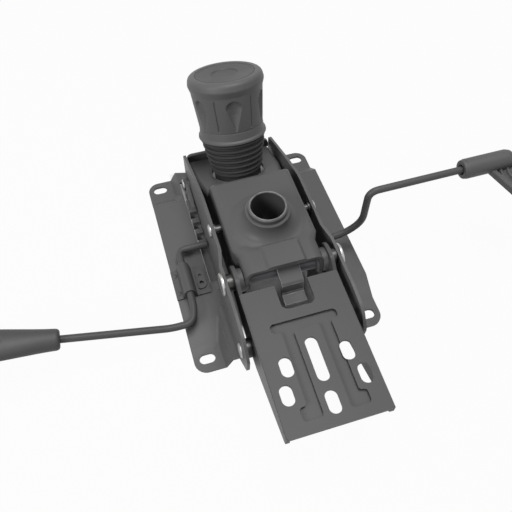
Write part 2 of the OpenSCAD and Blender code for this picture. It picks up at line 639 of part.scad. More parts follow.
// Thin boot with rings: smooth foot, rings that widen to the top, and a tube that runs into the knob
boot_foot = 6.5;
ring_t = 1.2;
ring_step = (boot_h - 3 - boot_foot - 3) / (boot_ribs - 1);
function ring_s(i) = boot_foot + 3 + i * ring_step;
function ring_r(i) = boot_r + 0.8 + (boot_top_r - boot_r - 0.8) * i / (boot_ribs - 1);
module spring_boot() color(black_plastic) on_knob_axis() rotate_extrude() {
    wall = 1.2;
    depth = 3;
    rings = [for (i = [0 : boot_ribs - 1]) let (s = ring_s(i), r = ring_r(i))
        each [[r - depth, s - 1], [r - 0.3, s - ring_t / 2], [r, s], [r - 0.3, s + ring_t / 2], [r - depth, s + 1]]];
    inside = [for (i = [boot_ribs - 1 : -1 : 0]) [ring_r(i) - depth - wall, ring_s(i)]];
    polygon(concat([[boot_r, 0], [boot_r, boot_foot - 0.5]], rings, [[boot_tube_r, boot_tube_top],
        [boot_tube_r - wall, boot_tube_top]], inside, [[boot_r - 2 - wall, boot_foot - 1], [boot_r - wall - 1, 0]]));
}
function coil_point(k) = let (a = 360 * k, rise = spring_top - spring_bottom - wire_d)
    [spring_r * cos(a), spring_r * sin(a), spring_bottom + wire_d / 2 + rise * k / spring_turns];
coil = [for (i = [0 : 8 * spring_turns]) coil_point(i / 8)];
coil_gap = min([for (i = [0 : len(coil) - 9]) norm(coil[i + 8] - coil[i])]) - wire_d;
echo(main_spring_gap = coil_gap);
module main_spring() color(steel_grey) on_knob_axis() tube(coil, wire_d / 2, 6, [0, 0, 1]);
module tension_bolt() color(zinc) on_knob_axis()
    translate([0, 0, trunnion_s - trunnion_r - nut_h]) cylinder(r = bolt_r, h = bolt_top - trunnion_s + trunnion_r + nut_h);
module trunnion() color(zinc) difference() {
    rod_x(-trunnion_half, trunnion_half, trunnion_r, trunnion_y, trunnion_z);
    on_knob_axis() translate([0, 0, trunnion_s - 2 * trunnion_r]) cylinder(r = bolt_r + run_fit, h = 4 * trunnion_r);
}
module hex_nut(h) difference() {
    cylinder(d = nut_af / cos(30), h = h, $fn = 6);
    translate([0, 0, -1]) cylinder(r = bolt_r + run_fit, h = h + 2);
}
module bolt_nut() color(zinc) on_knob_axis() translate([0, 0, trunnion_s - trunnion_r - nut_h]) hex_nut(nut_h);
module thrust_washer() color(zinc) on_knob_axis() translate([0, 0, spring_top + 0.3]) difference() {
    cylinder(r = spring_r + wire_d / 2 + 0.5, h = washer_t);
    translate([0, 0, -1]) cylinder(r = bolt_r + 0.3, h = washer_t + 2);
}
module knob_nut() color(zinc) on_knob_axis() translate([0, 0, hub_s]) hex_nut(nut_h + 1);
// Finger groove: a drop-shaped hollow, wide and round under the cap and pointed at the collar
module finger_groove() hull() {
    translate([knob_r + 3.4, 0, brim_s - 10]) sphere(r = 7.6, $fn = 32);
    translate([waist_r + 0.9, 0, collar_s + 1.5]) sphere(r = 1.2, $fn = 16);
}
module tension_knob() color(black_plastic) on_knob_axis() difference() {
    rotate_extrude() polygon(rounded([
        [spring_r + wire_d / 2 + 2, hub_s, 0], [spring_r + wire_d / 2 + 2, skirt_s + skirt_depth, 0],
        [boot_tube_r + 0.6, skirt_s + skirt_depth, 0], [boot_tube_r + 0.6, skirt_s + lip_t, 0],
        [boot_top_r + 0.5, skirt_s + lip_t - 0.2, 0], [boot_top_r + 0.5, skirt_s, 0],
        [boot_top_r + 1.6, skirt_s, 0.4], [boot_top_r + 1.3, skirt_s + lip_t, 0.4],
        [waist_r + 0.5, skirt_s + lip_t + 1, 0.6], [waist_r, collar_s - 0.5, 0], [waist_r - 0.4, collar_s, 0],
        [waist_r + 0.1, collar_s + 0.4, 0], [knob_r - 1.6, brim_s, 4], [knob_r + 0.2, brim_s + 5.5, 3.5],
        [knob_r - 1.2, knob_top - 0.6, 5], [cap_r, knob_top, 0], [cap_r, knob_top - cap_t, 0], [0, knob_top - cap_t, 0],
        [0, hub_s, 0]]));
    translate([0, 0, hub_s - 1]) cylinder(r = bolt_r + run_fit, h = bolt_top - hub_s + knob_travel + 2);
    translate([0, 0, hub_s - 1]) cylinder(d = nut_af / cos(30) + 0.1, h = nut_h + 2.2, $fn = 6);
    for (i = [0 : grooves - 1]) rotate(360 * i / grooves + 26.4) {
        finger_groove();
        rotate(180 / grooves) translate([waist_r - 0.5, -0.7, collar_s + 0.4]) rotate([0, 5, 0])
            cube([4, 1.4, brim_s - collar_s - 2]);
    }
}
module knob_cap() color(black_plastic) on_knob_axis() translate([0, 0, knob_top - cap_t]) rotate_extrude()
    polygon([[0, 0.02], [cap_r - 0.05, 0.02], [cap_r - 0.05, cap_t - 0.3], [cap_r - 0.6, cap_t],
             [12.5, cap_t - 0.5], [11.5, cap_t - 1.3], [0, cap_t - 1.5]]);

// Lock comb: slides beside the left wall on its pin as the seat tilts, its tail under the panel
module lock_comb() color(steel_grey) difference() {
    union() {
        side_form(-comb_out, -comb_in, concat(
            [[comb_body_y, comb_low, 0], [comb_tail_y, comb_low, 0], [comb_tail_y, comb_tail_top, 0],
             [first_tooth_y - tooth_l / 2, comb_tail_top, 0]],
            [for (i = [0 : teeth - 1]) let (y = first_tooth_y + i * tooth_pitch, low = i == 0 ? 0 : 2)
                each [if (i > 0) [y - tooth_l / 2, notch_floor, 2], [y - tooth_l / 2, tooth_top, 1.2],
                      [y + tooth_l / 2, tooth_top, 1.2], [y + tooth_l / 2, i < teeth - 1 ? notch_floor : panel_h, 1.6]]],
            [[comb_body_y, panel_h, 1]]));
        side_form(-comb_in - 4, -comb_in, [
            [first_tooth_y + comb_travel, comb_low + 1, 0], [first_tooth_y + comb_travel, tooth_top - 1, 0],
            [comb_pin_y - 5, comb_pin_z + 6.5, 6], [comb_pin_y + 8, comb_pin_z + 6.5, 6],
            [comb_pin_y + 8, comb_pin_z - 6.5, 6], [comb_pin_y - 8, comb_pin_z - 6.5, 6]]);
    }
    rod_x(-comb_out - 1, -comb_in + 1, comb_pin_d / 2 + run_fit, comb_pin_y, comb_pin_z);
}
module comb_pin() color(zinc) {
    rod_x(-comb_in - 4, -wall_in + 2.5, comb_pin_d / 2, comb_pin_y, comb_pin_z);
    mirror([1, 0, 0]) head_x(comb_in + 4, comb_pin_d / 2 + 2.2, head_t, comb_pin_y, comb_pin_z);
}
module comb_ring() color(zinc)
    ring_x(-wall_in + 0.3, -wall_in + 1.5, comb_pin_d / 2 + 2, comb_pin_d / 2 + run_fit, comb_pin_y, comb_pin_z);

// Lever rods and handles
module lock_lever() color(steel_grey) {
    tube(eased(lock_path, 7), rod_r, 12);
    translate([journal_x, clip_front + 2, journal_z]) rotate([90, 0, 0]) cylinder(r = rod_r, h = clip_front + 2 - journal_rear);
    tube(eased(tip_path, 8), rod_r, 12);
}
module release_lever() color(steel_grey) difference() {
    union() {
        tube(eased(release_path, 9.5), rod_r, 12);
        translate([release_x, release_y + 7, release_z]) rotate([90, 0, 0]) cylinder(r = 6.2, h = 14);
        translate([0, release_y, release_z]) rotate([90, 0, 0]) translate([0, 0, -6]) cylinder(r = 5, h = 12);
    }
    translate([release_x, release_y + 8, release_z]) rotate([90, 0, 0])
        cylinder(r = release_pin_d / 2 + run_fit, h = 16);
}
// Handle along its own +X: round neck that widens to a flat paddle with a thumb dish
function oval(x, w, t) = [for (a = [0 : 10 : 350]) [x, w * sin(a), t * cos(a)]];
module paddle_handle() difference() {
    half = handle_w / 2;
    loft([oval(0, 6.4, 6.4), oval(1, 8.2, 8.2), oval(3, 9, 9), oval(14, 9.8, 8.9), oval(30, 11.7, 8.7), oval(48, 13.8, 8.4),
          oval(64, half - 0.8, 8.2), oval(78, half, 7.8), oval(handle_l - 14, half - 0.9, 7),
          oval(handle_l - 7, half - 3.2, 6), oval(handle_l - 3, half - 6, 4.8), oval(handle_l, half - 10, 2.5)]);
    translate([handle_l - 24, 0, 32.8]) scale([2.5, 1, 1]) sphere(r = 27, $fn = 48);
    translate([-1, 0, 0]) rotate([0, 90, 0]) cylinder(r = rod_r, h = 26);
}
// Handle with a round sleeve and a ribbed wing to one side
module wing_handle() difference() {
    lean = 0.27;
    union() {
        rotate([0, 90, 0]) rotate_extrude() polygon([[0, 0], [7.6, 0], [8.6, 1], [8.6, 3], [9, 3.4], [9, 44], [8.2, 47.4],
                                                     [6, 49.6], [0, 50.4]]);
        translate([0, 0, -7]) linear_extrude(height = 4) polygon(rounded([
            [24, 0, 0], [26 + lean * (wing_w - 9), -wing_w, 5], [wing_l, -wing_w + 4, 12], [wing_l, 6, 6], [48, 6, 0]]));
        for (i = [0 : 4]) translate([26 + i * 8, -6, -3.5]) linear_extrude(height = i == 0 ? 3.2 : 2.4) polygon([
            [0, 0], [2.6, 0], [2.6 + lean * (wing_w - 15), 10 - wing_w], [lean * (wing_w - 15), 10 - wing_w]]);
    }
    translate([-1, 0, 0]) rotate([0, 90, 0]) cylinder(r = rod_r, h = 26);
}
// Places a handle on the end of a rod, along the rod's last stretch
module on_rod_end(end, before, roll) {
    d = unit(end - before);
    translate(end - d * 18) rotate([0, -asin(d.z), atan2(d.y, d.x)]) rotate([roll, 0, 0]) children();
}
module lock_handle() color(black_plastic) on_rod_end(lock_path[0], lock_path[1], 0) paddle_handle();
module release_handle() color(black_plastic)
    on_rod_end(release_path[len(release_path) - 1], release_path[len(release_path) - 2], 0) wing_handle();

seat_bracket_left();
seat_bracket_right();
back_bracket();
tilt_axle();
axle_rings();
ear_spacers();
link_pins();
link_spacers();
stop_pins();
spring_bridge();
lever_clip();
clip_rivets();
housing();
gas_socket();
axle_bushes();
thrust_rings();
stop_tongue();
release_pivot();
release_bracket();
spring_cup();
spring_boot();
main_spring();
tension_bolt();
trunnion();
bolt_nut();
thrust_washer();
tension_knob();
knob_cap();
knob_nut();
lock_comb();
comb_pin();
comb_ring();
lock_lever();
lock_handle();
release_lever();
release_handle();
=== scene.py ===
"""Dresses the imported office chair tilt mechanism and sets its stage. All lengths are in metres."""
import json
import math

import bmesh
import bpy
from bpy.props import FloatProperty, FloatVectorProperty, IntProperty, PointerProperty
from mathutils import Matrix, Vector


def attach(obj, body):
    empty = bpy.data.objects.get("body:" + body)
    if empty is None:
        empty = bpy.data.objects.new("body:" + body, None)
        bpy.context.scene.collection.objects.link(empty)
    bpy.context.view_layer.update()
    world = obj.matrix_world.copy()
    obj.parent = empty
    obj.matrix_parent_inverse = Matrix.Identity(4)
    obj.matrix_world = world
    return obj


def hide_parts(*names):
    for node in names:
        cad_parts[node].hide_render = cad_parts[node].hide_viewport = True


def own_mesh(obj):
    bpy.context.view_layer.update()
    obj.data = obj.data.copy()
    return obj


bl_info = {
    "name": "Chair tilt mechanism",
    "version": (1, 0, 0),
    "blender": (4, 5, 0),
    "location": "View3D > Sidebar > Tilt mechanism",
    "description": "Dresses an office chair tilt mechanism and sets its stage",
    "category": "Object",
}

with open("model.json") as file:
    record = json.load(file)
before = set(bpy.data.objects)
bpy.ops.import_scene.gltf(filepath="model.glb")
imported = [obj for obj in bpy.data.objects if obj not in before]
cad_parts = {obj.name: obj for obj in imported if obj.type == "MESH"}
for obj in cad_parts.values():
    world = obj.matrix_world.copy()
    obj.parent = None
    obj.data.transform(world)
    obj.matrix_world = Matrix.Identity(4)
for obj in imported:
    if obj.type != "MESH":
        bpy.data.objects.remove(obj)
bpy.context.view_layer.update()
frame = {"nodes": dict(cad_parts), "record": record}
MM = 0.001
# the knob's leaning axis, the two directions across it, and its foot on the deck
LEAN_ANGLE = math.radians(21)
LEAN = Vector((0, math.sin(LEAN_ANGLE), math.cos(LEAN_ANGLE)))
SIDE = Vector((1, 0, 0))
FRONT = LEAN.cross(SIDE)
FOOT = Vector((0, 62, 50)) * MM
# the back bracket's web: the middle of its front line, and its slope
WEB = Matrix.Translation(Vector((0, -88, 75)) * MM) @ Matrix.Rotation(math.atan(7 / 118), 4, "X")
# width of the softened edges on small fittings
SMALL_EDGE = 0.4 * MM
BODY_OF = {node: body for body, nodes in frame["record"]["behaviour"]["bodies"].items() for node in nodes}
SLOT_OF = {part["node"]: part["material_slot"] for part in frame["record"]["subparts"]}


def colour_prop(name, words, value):
    """A colour that a user may change."""
    return FloatVectorProperty(name=name, description=words, default=value, size=3, min=0, max=1,
                               subtype="COLOR")


class FinishSettings(bpy.types.PropertyGroup):
    """Colours and roughness of the finishes."""
    coat: colour_prop("Powder coat", "Charcoal coat of the pressed steel", (0.082, 0.082, 0.084))
    coat_rough: FloatProperty(name="Coat roughness", description="Roughness of the powder coat", default=0.46,
                              min=0, max=1)
    plastic: colour_prop("Plastic", "Moulded plastic of knob and handles", (0.076, 0.076, 0.078))
    rubber: colour_prop("Rubber", "Boot round the main spring", (0.125, 0.125, 0.127))
    zinc: colour_prop("Zinc", "Plated pins, rings and bolts", (0.42, 0.42, 0.41))
    edge_width: FloatProperty(name="Edge", description="Width of the softened sheet edges", default=0.5 * MM,
                              min=0, max=2 * MM, subtype="DISTANCE", unit="LENGTH")


class KnobSettings(bpy.types.PropertyGroup):
    """Sizes of the tension knob and its boot."""
    grooves: IntProperty(name="Grooves", description="Finger grooves round the knob", default=6, min=4, max=9)
    groove_deep: FloatProperty(name="Groove depth", description="Depth of a finger groove", default=3.3 * MM,
                               min=0, max=5 * MM, subtype="DISTANCE", unit="LENGTH")
    groove_wide: FloatProperty(name="Groove width", description="Half width of a finger groove",
                               default=7.0 * MM, min=MM, max=9 * MM, subtype="DISTANCE", unit="LENGTH")
    phase: FloatProperty(name="Phase", description="Turn of the first groove", default=math.radians(26.4),
                         subtype="ANGLE")
    wire: FloatProperty(name="Wire", description="Thickness of the main spring's wire", default=5.5 * MM,
                        min=4 * MM, max=5.75 * MM, subtype="DISTANCE", unit="LENGTH")


class LeverSettings(bpy.types.PropertyGroup):
    """Sizes of the lever rods and their handles."""
    rod: FloatProperty(name="Rod", description="Thickness of the lever rods", default=6.5 * MM,
                       min=5 * MM, max=7 * MM, subtype="DISTANCE", unit="LENGTH")
    dish: FloatProperty(name="Dish", description="Height of the thumb dish's floor over the paddle's middle",
                        default=4.3 * MM, min=2 * MM, max=8 * MM, subtype="DISTANCE", unit="LENGTH")
    ribs: IntProperty(name="Ribs", description="Ribs on the wing of the height lever", default=5,
                      min=2, max=5)
    rib_high: FloatProperty(name="Rib height", description="Height of a rib over the wing", default=2.4 * MM,
                            min=0, max=3 * MM, subtype="DISTANCE", unit="LENGTH")


class StageSettings(bpy.types.PropertyGroup):
    """Camera and light."""
    lens: FloatProperty(name="Lens", description="Focal length of the camera", default=41.17, min=10, max=200,
                        subtype="DISTANCE_CAMERA")
    azimuth: FloatProperty(name="Azimuth", description="Camera's turn round the object",
                           default=math.radians(-17.0), subtype="ANGLE")
    elevation: FloatProperty(name="Elevation", description="Camera's height above the horizon",
                             default=math.radians(55.8), subtype="ANGLE")
    place: FloatVectorProperty(name="Camera", description="Place of the camera", size=3, subtype="XYZ",
                               unit="LENGTH", default=(-0.09673, -0.31543, 0.47358))
    floor: colour_prop("Floor", "Pale floor", (0.40, 0.40, 0.40))
    paper: FloatProperty(name="Paper", description="How far the floor is lifted to white", default=0.96,
                         min=0, max=1)
    sky: FloatProperty(name="Sky", description="Strength of the even light from all round", default=0.12,
                       min=0, max=1)


def settings(group):
    """The scene's values for one group."""
    return getattr(bpy.context.scene, "tilt_" + group)


class Finish:
    """Node tree of one material, built from the shader backwards."""

    def __init__(self, name):
        self.material = bpy.data.materials.new(name)
        self.material.use_nodes = True
        self.tree = self.material.node_tree
        self.shader = self.tree.nodes["Principled BSDF"]
        self.place = self.add("ShaderNodeTexCoord").outputs["Object"]

    def add(self, kind, **values):
        """A node with the given settings."""
        node = self.tree.nodes.new(kind)
        for key, value in values.items():
            setattr(node, key, value)
        return node

    def join(self, source, target):
        """A link between two sockets."""
        self.tree.links.new(source, target)

    def set(self, **values):
        """Constants on the shader."""
        for key, value in values.items():
            self.shader.inputs[key.replace("_", " ")].default_value = value
        return self

    def noise(self, scale, detail=3.0, rough=0.55, stretch=None):
        """Noise in the piece's own coordinates."""
        node = self.add("ShaderNodeTexNoise")
        node.inputs["Scale"].default_value = scale
        node.inputs["Detail"].default_value = detail
        node.inputs["Roughness"].default_value = rough
        place = self.place
        if stretch:
            mapping = self.add("ShaderNodeMapping")
            mapping.inputs["Scale"].default_value = stretch
            self.join(place, mapping.inputs["Vector"])
            place = mapping.outputs["Vector"]
        self.join(place, node.inputs["Vector"])
        return node.outputs["Fac"]

    def spread(self, value, low, high, from_low=0.3, from_high=0.7):
        """The value's middle range stretched between low and high."""
        node = self.add("ShaderNodeMapRange")
        for key, number in (("From Min", from_low), ("From Max", from_high),
                            ("To Min", low), ("To Max", high)):
            node.inputs[key].default_value = number
        self.join(value, node.inputs["Value"])
        return node.outputs["Result"]

    def times(self, a, b):
        """Product of two sockets."""
        node = self.add("ShaderNodeMath", operation="MULTIPLY", use_clamp=True)
        self.join(a, node.inputs[0])
        self.join(b, node.inputs[1])
        return node.outputs["Value"]

    def blend(self, share, low, high):
        """Colour between low and high; each is a colour or a socket."""
        node = self.add("ShaderNodeMix", data_type="RGBA")
        self.join(share, node.inputs["Factor"])
        for key, colour in (("A", low), ("B", high)):
            socket = [s for s in node.inputs if s.name == key and s.type == "RGBA"][0]
            if isinstance(colour, bpy.types.NodeSocket):
                self.join(colour, socket)
            else:
                socket.default_value = (*colour, 1)
        return [s for s in node.outputs if s.type == "RGBA"][0]

    def bump(self, height, strength, distance):
        """Normal of a surface raised by the height."""
        node = self.add("ShaderNodeBump")
        node.inputs["Strength"].default_value = strength
        node.inputs["Distance"].default_value = distance
        self.join(height, node.inputs["Height"])
        return node.outputs["Normal"]

    def attribute(self, name):
        """A value written on the piece's faces."""
        return self.add("ShaderNodeAttribute", attribute_name=name).outputs["Fac"]

    def paint(self, colour, rough=None, normal=None):
        """Joins the sockets to the shader and gives the material."""
        for key, socket in (("Base Color", colour), ("Roughness", rough), ("Normal", normal)):
            if socket:
                self.join(socket, self.shader.inputs[key])
        return self.material


def shade(colour, factor):
    """The colour made lighter or darker."""
    return tuple(min(1, c * factor) for c in colour)


def powder_coat(name="powder_coat", depth=1.0):
    """Satin charcoal powder coat: fine orange peel, a breath of dust, and a painted highlight that makes the
    softened edges much lighter in patches.
    """
    look = settings("finish")
    base = shade(look.coat, depth)
    made = Finish(name).set(Specular_IOR_Level=0.25)
    cloud = made.noise(14, 3)
    fleck = made.noise(2600, 2)
    tone = made.blend(made.spread(cloud, 0, 1), shade(base, 0.98), shade(base, 1.02))
    tone = made.blend(made.spread(fleck, 0, 0.12, 0.5, 0.8), tone, shade(base, 1.6))
    # painted highlight: the faces of the softened edges made lighter in patches, as if they caught the light
    edge_sheen = made.times(made.attribute("edge_highlight"), made.spread(made.noise(120, 3), 0.25, 0.75, 0.4, 0.7))
    tone = made.blend(edge_sheen, tone, shade(base, 4.0))
    rough = made.spread(cloud, look.coat_rough - 0.02, look.coat_rough + 0.03)
    return made.paint(tone, rough, made.bump(made.noise(900, 2), 0.03, 0.0001))


def zinc_plate():
    """Bright zinc: fine turned lines, dull patches, and dark grease with painted shade where the pieces sit
    between the walls.
    """
    look = settings("finish")
    made = Finish("zinc_plate").set(Metallic=1.0)
    patch = made.noise(130, 4)
    lines = made.noise(1400, 2, 0.6, (0.15, 1, 1))
    tone = made.blend(made.spread(patch, 0, 1), shade(look.zinc, 0.72), shade(look.zinc, 1.12))
    # grease and painted shade: the plating made dark on the faces between the walls
    tone = made.blend(made.attribute("grease"), tone, shade(look.zinc, 0.16))
    rough = made.spread(patch, 0.26, 0.46)
    return made.paint(tone, rough, made.bump(lines, 0.12, 0.0001))


def moulded_plastic(name="moulded_plastic", depth=1.0):
    """Black moulded plastic with a spark-eroded grain, and a painted highlight on its softened edges."""
    base = shade(settings("finish").plastic, depth)
    made = Finish(name)
    cloud = made.noise(40, 3)
    tone = made.blend(made.spread(cloud, 0, 1), shade(base, 0.96), shade(base, 1.05))
    # painted highlight: the faces of the softened edges made lighter in patches
    edge_sheen = made.times(made.attribute("edge_highlight"), made.spread(made.noise(240, 3), 0, 0.45, 0.45, 0.7))
    tone = made.blend(edge_sheen, tone, shade(base, 2.2))
    grain = made.bump(made.noise(2600, 3), 0.22, 0.00018)
    return made.paint(tone, made.spread(cloud, 0.48, 0.58), grain)


def boot_rubber():
    """Matt rubber with a bloom of dust in its folds."""
    look = settings("finish")
    made = Finish("boot_rubber")
    dust = made.noise(90, 4)
    tone = made.blend(made.spread(dust, 0, 0.5), look.rubber, shade(look.rubber, 1.7))
    return made.paint(tone, made.spread(dust, 0.52, 0.7), made.bump(made.noise(1500, 2), 0.15, 0.0001))


def spring_steel():
    """Oiled spring steel, dark with brown breaks."""
    made = Finish("spring_steel").set(Metallic=1.0)
    scale = made.noise(300, 4)
    tone = made.blend(made.spread(scale, 0, 1), (0.03, 0.03, 0.032), (0.075, 0.066, 0.058))
    return made.paint(tone, made.spread(scale, 0.35, 0.55), made.bump(scale, 0.2, 0.0002))


MAKERS = {"painted_steel": powder_coat, "zinc_steel": zinc_plate, "black_plastic": moulded_plastic,
          "boot_rubber": boot_rubber, "spring_steel": spring_steel}
# painted light: lit and shaded copies of a slot's finish, each piece's colour made lighter or darker to stand
# in for the light that reaches it; the name of the copy, and its share of the slot's colour
LIT_AND_SHADED_COPIES = {
    "seat_bracket_left": ("left_coat", 1.25),
    "seat_bracket_right": ("right_coat", 1.45),
    "housing": ("housing_coat", 1.12),
    "back_bracket": ("web_coat", 0.90),
    "lock_comb": ("comb_coat", 1.15),
    "lock_lever": ("rod_coat", 0.85),
    "lock_handle": ("grip_plastic", 0.62),
    "tension_knob": ("knob_plastic", 1.10),
    "knob_cap": ("cap_plastic", 0.60),
}


def finish_of(slot, node=None):
    """The material of a slot, or the piece's lighter or darker copy of it that paints light and shade, made
    once.
    """
    lit_copy = LIT_AND_SHADED_COPIES.get(node)
    name = lit_copy[0] if lit_copy else MAKERS[slot].__name__
    return bpy.data.materials.get(name) or MAKERS[slot](*(lit_copy or ()))


def new_piece(name, mesh):
    """Links a mesh as an object at the origin."""
    piece = bpy.data.objects.new(name, mesh)
    bpy.context.scene.collection.objects.link(piece)
    return piece


def settle(piece):
    """Turns the modifiers of a piece into plain mesh."""
    bpy.context.view_layer.update()
    graph = bpy.context.evaluated_depsgraph_get()
    mesh = bpy.data.meshes.new_from_object(piece.evaluated_get(graph), depsgraph=graph)
    piece.modifiers.clear()
    piece.data = mesh
    return piece


def seat(piece, *nodes):
    """The piece stands for the nodes, on their body and in their slot's finish."""
    slot = SLOT_OF[nodes[0]]
    if not piece.data.materials:
        piece.data.materials.append(finish_of(slot, nodes[0]))
    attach(piece, BODY_OF[nodes[0]])
    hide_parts(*nodes)
    return piece


def mark_wear(mesh, highlit):
    """Writes how much painted edge highlight each face takes, for the finishes to read."""
    layer = mesh.attributes.new("edge_highlight", "FLOAT", "FACE")
    layer.data.foreach_set("value", highlit)


def smooth_by_angle(mesh, degrees=32):
    """Smooth shading with creases kept sharp."""
    mesh.polygons.foreach_set("use_smooth", [True] * len(mesh.polygons))
    mesh.set_sharp_from_angle(angle=math.radians(degrees))


def evened(piece):
    """Smooth shading that keeps the flats flat and the creases sharp."""
    smooth_by_angle(piece.data)
    piece.modifiers.new("flat_faces", "WEIGHTED_NORMAL").keep_sharp = True
    return settle(piece)


def softened(node, edge, press=None):
    """Copy of a CAD node, pressed where asked and with its sharp edges rounded, ready to be seated."""
    weld, flat, crease = 2e-6, math.radians(0.6), math.radians(34)
    form = bmesh.new()
    form.from_mesh(frame["nodes"][node].data)
    bmesh.ops.remove_doubles(form, verts=form.verts, dist=weld)
    bmesh.ops.dissolve_limit(form, angle_limit=flat, verts=form.verts, edges=form.edges)
    if press:
        press(form)
    sharp = [e for e in form.edges if e.is_manifold and abs(e.calc_face_angle(0)) > crease]
    rims = set()
    if edge > 0 and sharp:
        made = bmesh.ops.bevel(form, geom=sharp, offset=edge, offset_type="OFFSET", segments=2, profile=0.5,
                               affect="EDGES", clamp_overlap=True, loop_slide=True)
        rims.update(made["faces"])
    form.faces.ensure_lookup_table()
    # the faces of the softened edges take the painted highlight
    highlit = [float(f in rims) for f in form.faces]
    mesh = bpy.data.meshes.new(node + "_dressed")
    form.to_mesh(mesh)
    form.free()
    if "custom_normal" in mesh.attributes:
        mesh.attributes.remove(mesh.attributes["custom_normal"])
    mark_wear(mesh, highlit)
    return evened(new_piece("dressed_" + node, mesh))


def rounded(points, steps=6, closed=False):
    """Outline of (x, y, radius) with its corners turned into arcs."""
    made = []
    for i, (x, y, r) in enumerate(points):
        here = Vector((x, y))
        if r <= 0 or (not closed and i in (0, len(points) - 1)):
            made.append(here)
            continue
        u = Vector(points[i - 1][:2]) - here
        v = Vector(points[(i + 1) % len(points)][:2]) - here
        room = 0.49 * min(u.length, v.length)
        u.normalize()
        v.normalize()
        half = u.angle(v) / 2
        if half > math.radians(89):
            made.append(here)
            continue
        reach = min(room, r / math.tan(half))
        r = reach * math.tan(half)
        middle = here + (u + v).normalized() * r / math.sin(half)
        a, b = here + u * reach - middle, here + v * reach - middle
        made += [middle + a.lerp(b, k / steps).normalized() * r for k in range(steps + 1)]
    return made


def fine(path, step, wall):
    """The path with its long stretches cut, except for those inside the wall, which are plain."""
    made = [path[0]]
    for a, b in zip(path, path[1:]):
        cuts = max(1, math.ceil((b - a).length / step)) if max(a.x, b.x) > wall else 1
        made += [a.lerp(b, (k + 1) / cuts) for k in range(cuts)]
    return made


def skin(name, rows, ring=False, ends=False):
    """Closed mesh of quads between closed rows of points."""
    form = bmesh.new()
    verts = [[form.verts.new(point) for point in row] for row in rows]
    pairs = list(zip(verts, verts[1:])) + ([(verts[-1], verts[0])] if ring else [])
    for low, high in pairs:
        for j in range(len(low)):
            k = (j + 1) % len(low)
            form.faces.new((low[j], low[k], high[k], high[j]))
    if ends:
        form.faces.new(verts[0])
        form.faces.new(verts[-1])
    bmesh.ops.recalc_face_normals(form, faces=form.faces)
    mesh = bpy.data.meshes.new(name)
    form.to_mesh(mesh)
    form.free()
    return mesh


def on_axis(r, turn, s):
    """Point on the knob's leaning axis: radius, turn and height over the deck, in millimetres."""
    return FOOT + (SIDE * math.cos(turn) + FRONT * math.sin(turn)) * (r * MM) + LEAN * (s * MM)


def lathe(name, profile, count, carve=None, **ways):
    """Turned form on the knob's axis; carve gives a new radius for a turn, a height and a radius."""
    turns = [2 * math.pi * k / count for k in range(count)]
    rows = [[on_axis(carve(t, p.y, p.x) if carve else p.x, t, p.y) for t in turns] for p in profile]
    return skin(name, rows, **ways)


def turned(name, outline, ring):
    """Form turned round the X axis from points of radius and distance in millimetres."""
    count, least = 64, 0.02
    turns = [2 * math.pi * k / count for k in range(count)]
    rims = [(p.y, max(p.x, least)) for p in outline]
    rows = [[Vector((x, r * math.cos(t), r * math.sin(t))) * MM for t in turns] for x, r in rims]
    return skin(name, rows, ring, not ring)


def polish(piece, degrees=40):
    """Smooth shading for a turned or moulded piece, with no painted edge highlight."""
    mark_wear(piece.data, [0.0] * len(piece.data.polygons))
    smooth_by_angle(piece.data, degrees)
    return piece


def fused(piece, others, operation="UNION"):
    """The piece joined with the others, or cut by them; the others go."""
    for other in others:
        way = piece.modifiers.new(operation, "BOOLEAN")
        way.operation, way.solver, way.object = operation, "EXACT", other
    settle(piece)
    for other in others:
        bpy.data.objects.remove(other)
    return piece


def drum(r, half, x, y, z):
    """Plain drum along Y, in millimetres."""
    outline = [Vector((0, -half)), Vector((r, -half)), Vector((r, half)), Vector((0, half))]
    mesh = turned("drum", outline, False)
    mesh.transform(Matrix.Translation(Vector((x, y, z)) * MM) @ Matrix.Rotation(math.pi / 2, 4, "Z"))
    return new_piece("drum", mesh)


def slab(outline, low, high, place, inset=0.0):
    """Plate over an outline of (x, y, radius), drawn in by the inset, between two heights in millimetres."""
    form = bmesh.new()
    rim = rounded(outline, 5, True)
    away = [(rim[(i + 1) % len(rim)] - rim[i - 1]).normalized() for i in range(len(rim))]
    rim = [p + Vector((t.y, -t.x)) * inset for p, t in zip(rim, away)]
    rim = form.faces.new([form.verts.new((p.x * MM, p.y * MM, low * MM)) for p in rim])
    grown = bmesh.ops.extrude_face_region(form, geom=[rim])["geom"]
    lifted = [g for g in grown if isinstance(g, bmesh.types.BMVert)]
    bmesh.ops.translate(form, vec=(0, 0, (high - low) * MM), verts=lifted)
    bmesh.ops.recalc_face_normals(form, faces=form.faces)
    mesh = bpy.data.meshes.new("slab")
    form.to_mesh(mesh)
    form.free()
    mesh.transform(place)
    return new_piece("slab", mesh)


def eased(points, ease, steps=12):
    """Path in millimetres with its corners eased over the given length."""
    points = [Vector(point) for point in points]
    made = points[:1]
    for a, c, b in zip(points, points[1:], points[2:]):
        u, v = c + (a - c).normalized() * ease, c + (b - c).normalized() * ease
        made += [u.lerp(c, k / steps).lerp(c.lerp(v, k / steps), k / steps) for k in range(steps + 1)]
    return [point * MM for point in made + points[-1:]]


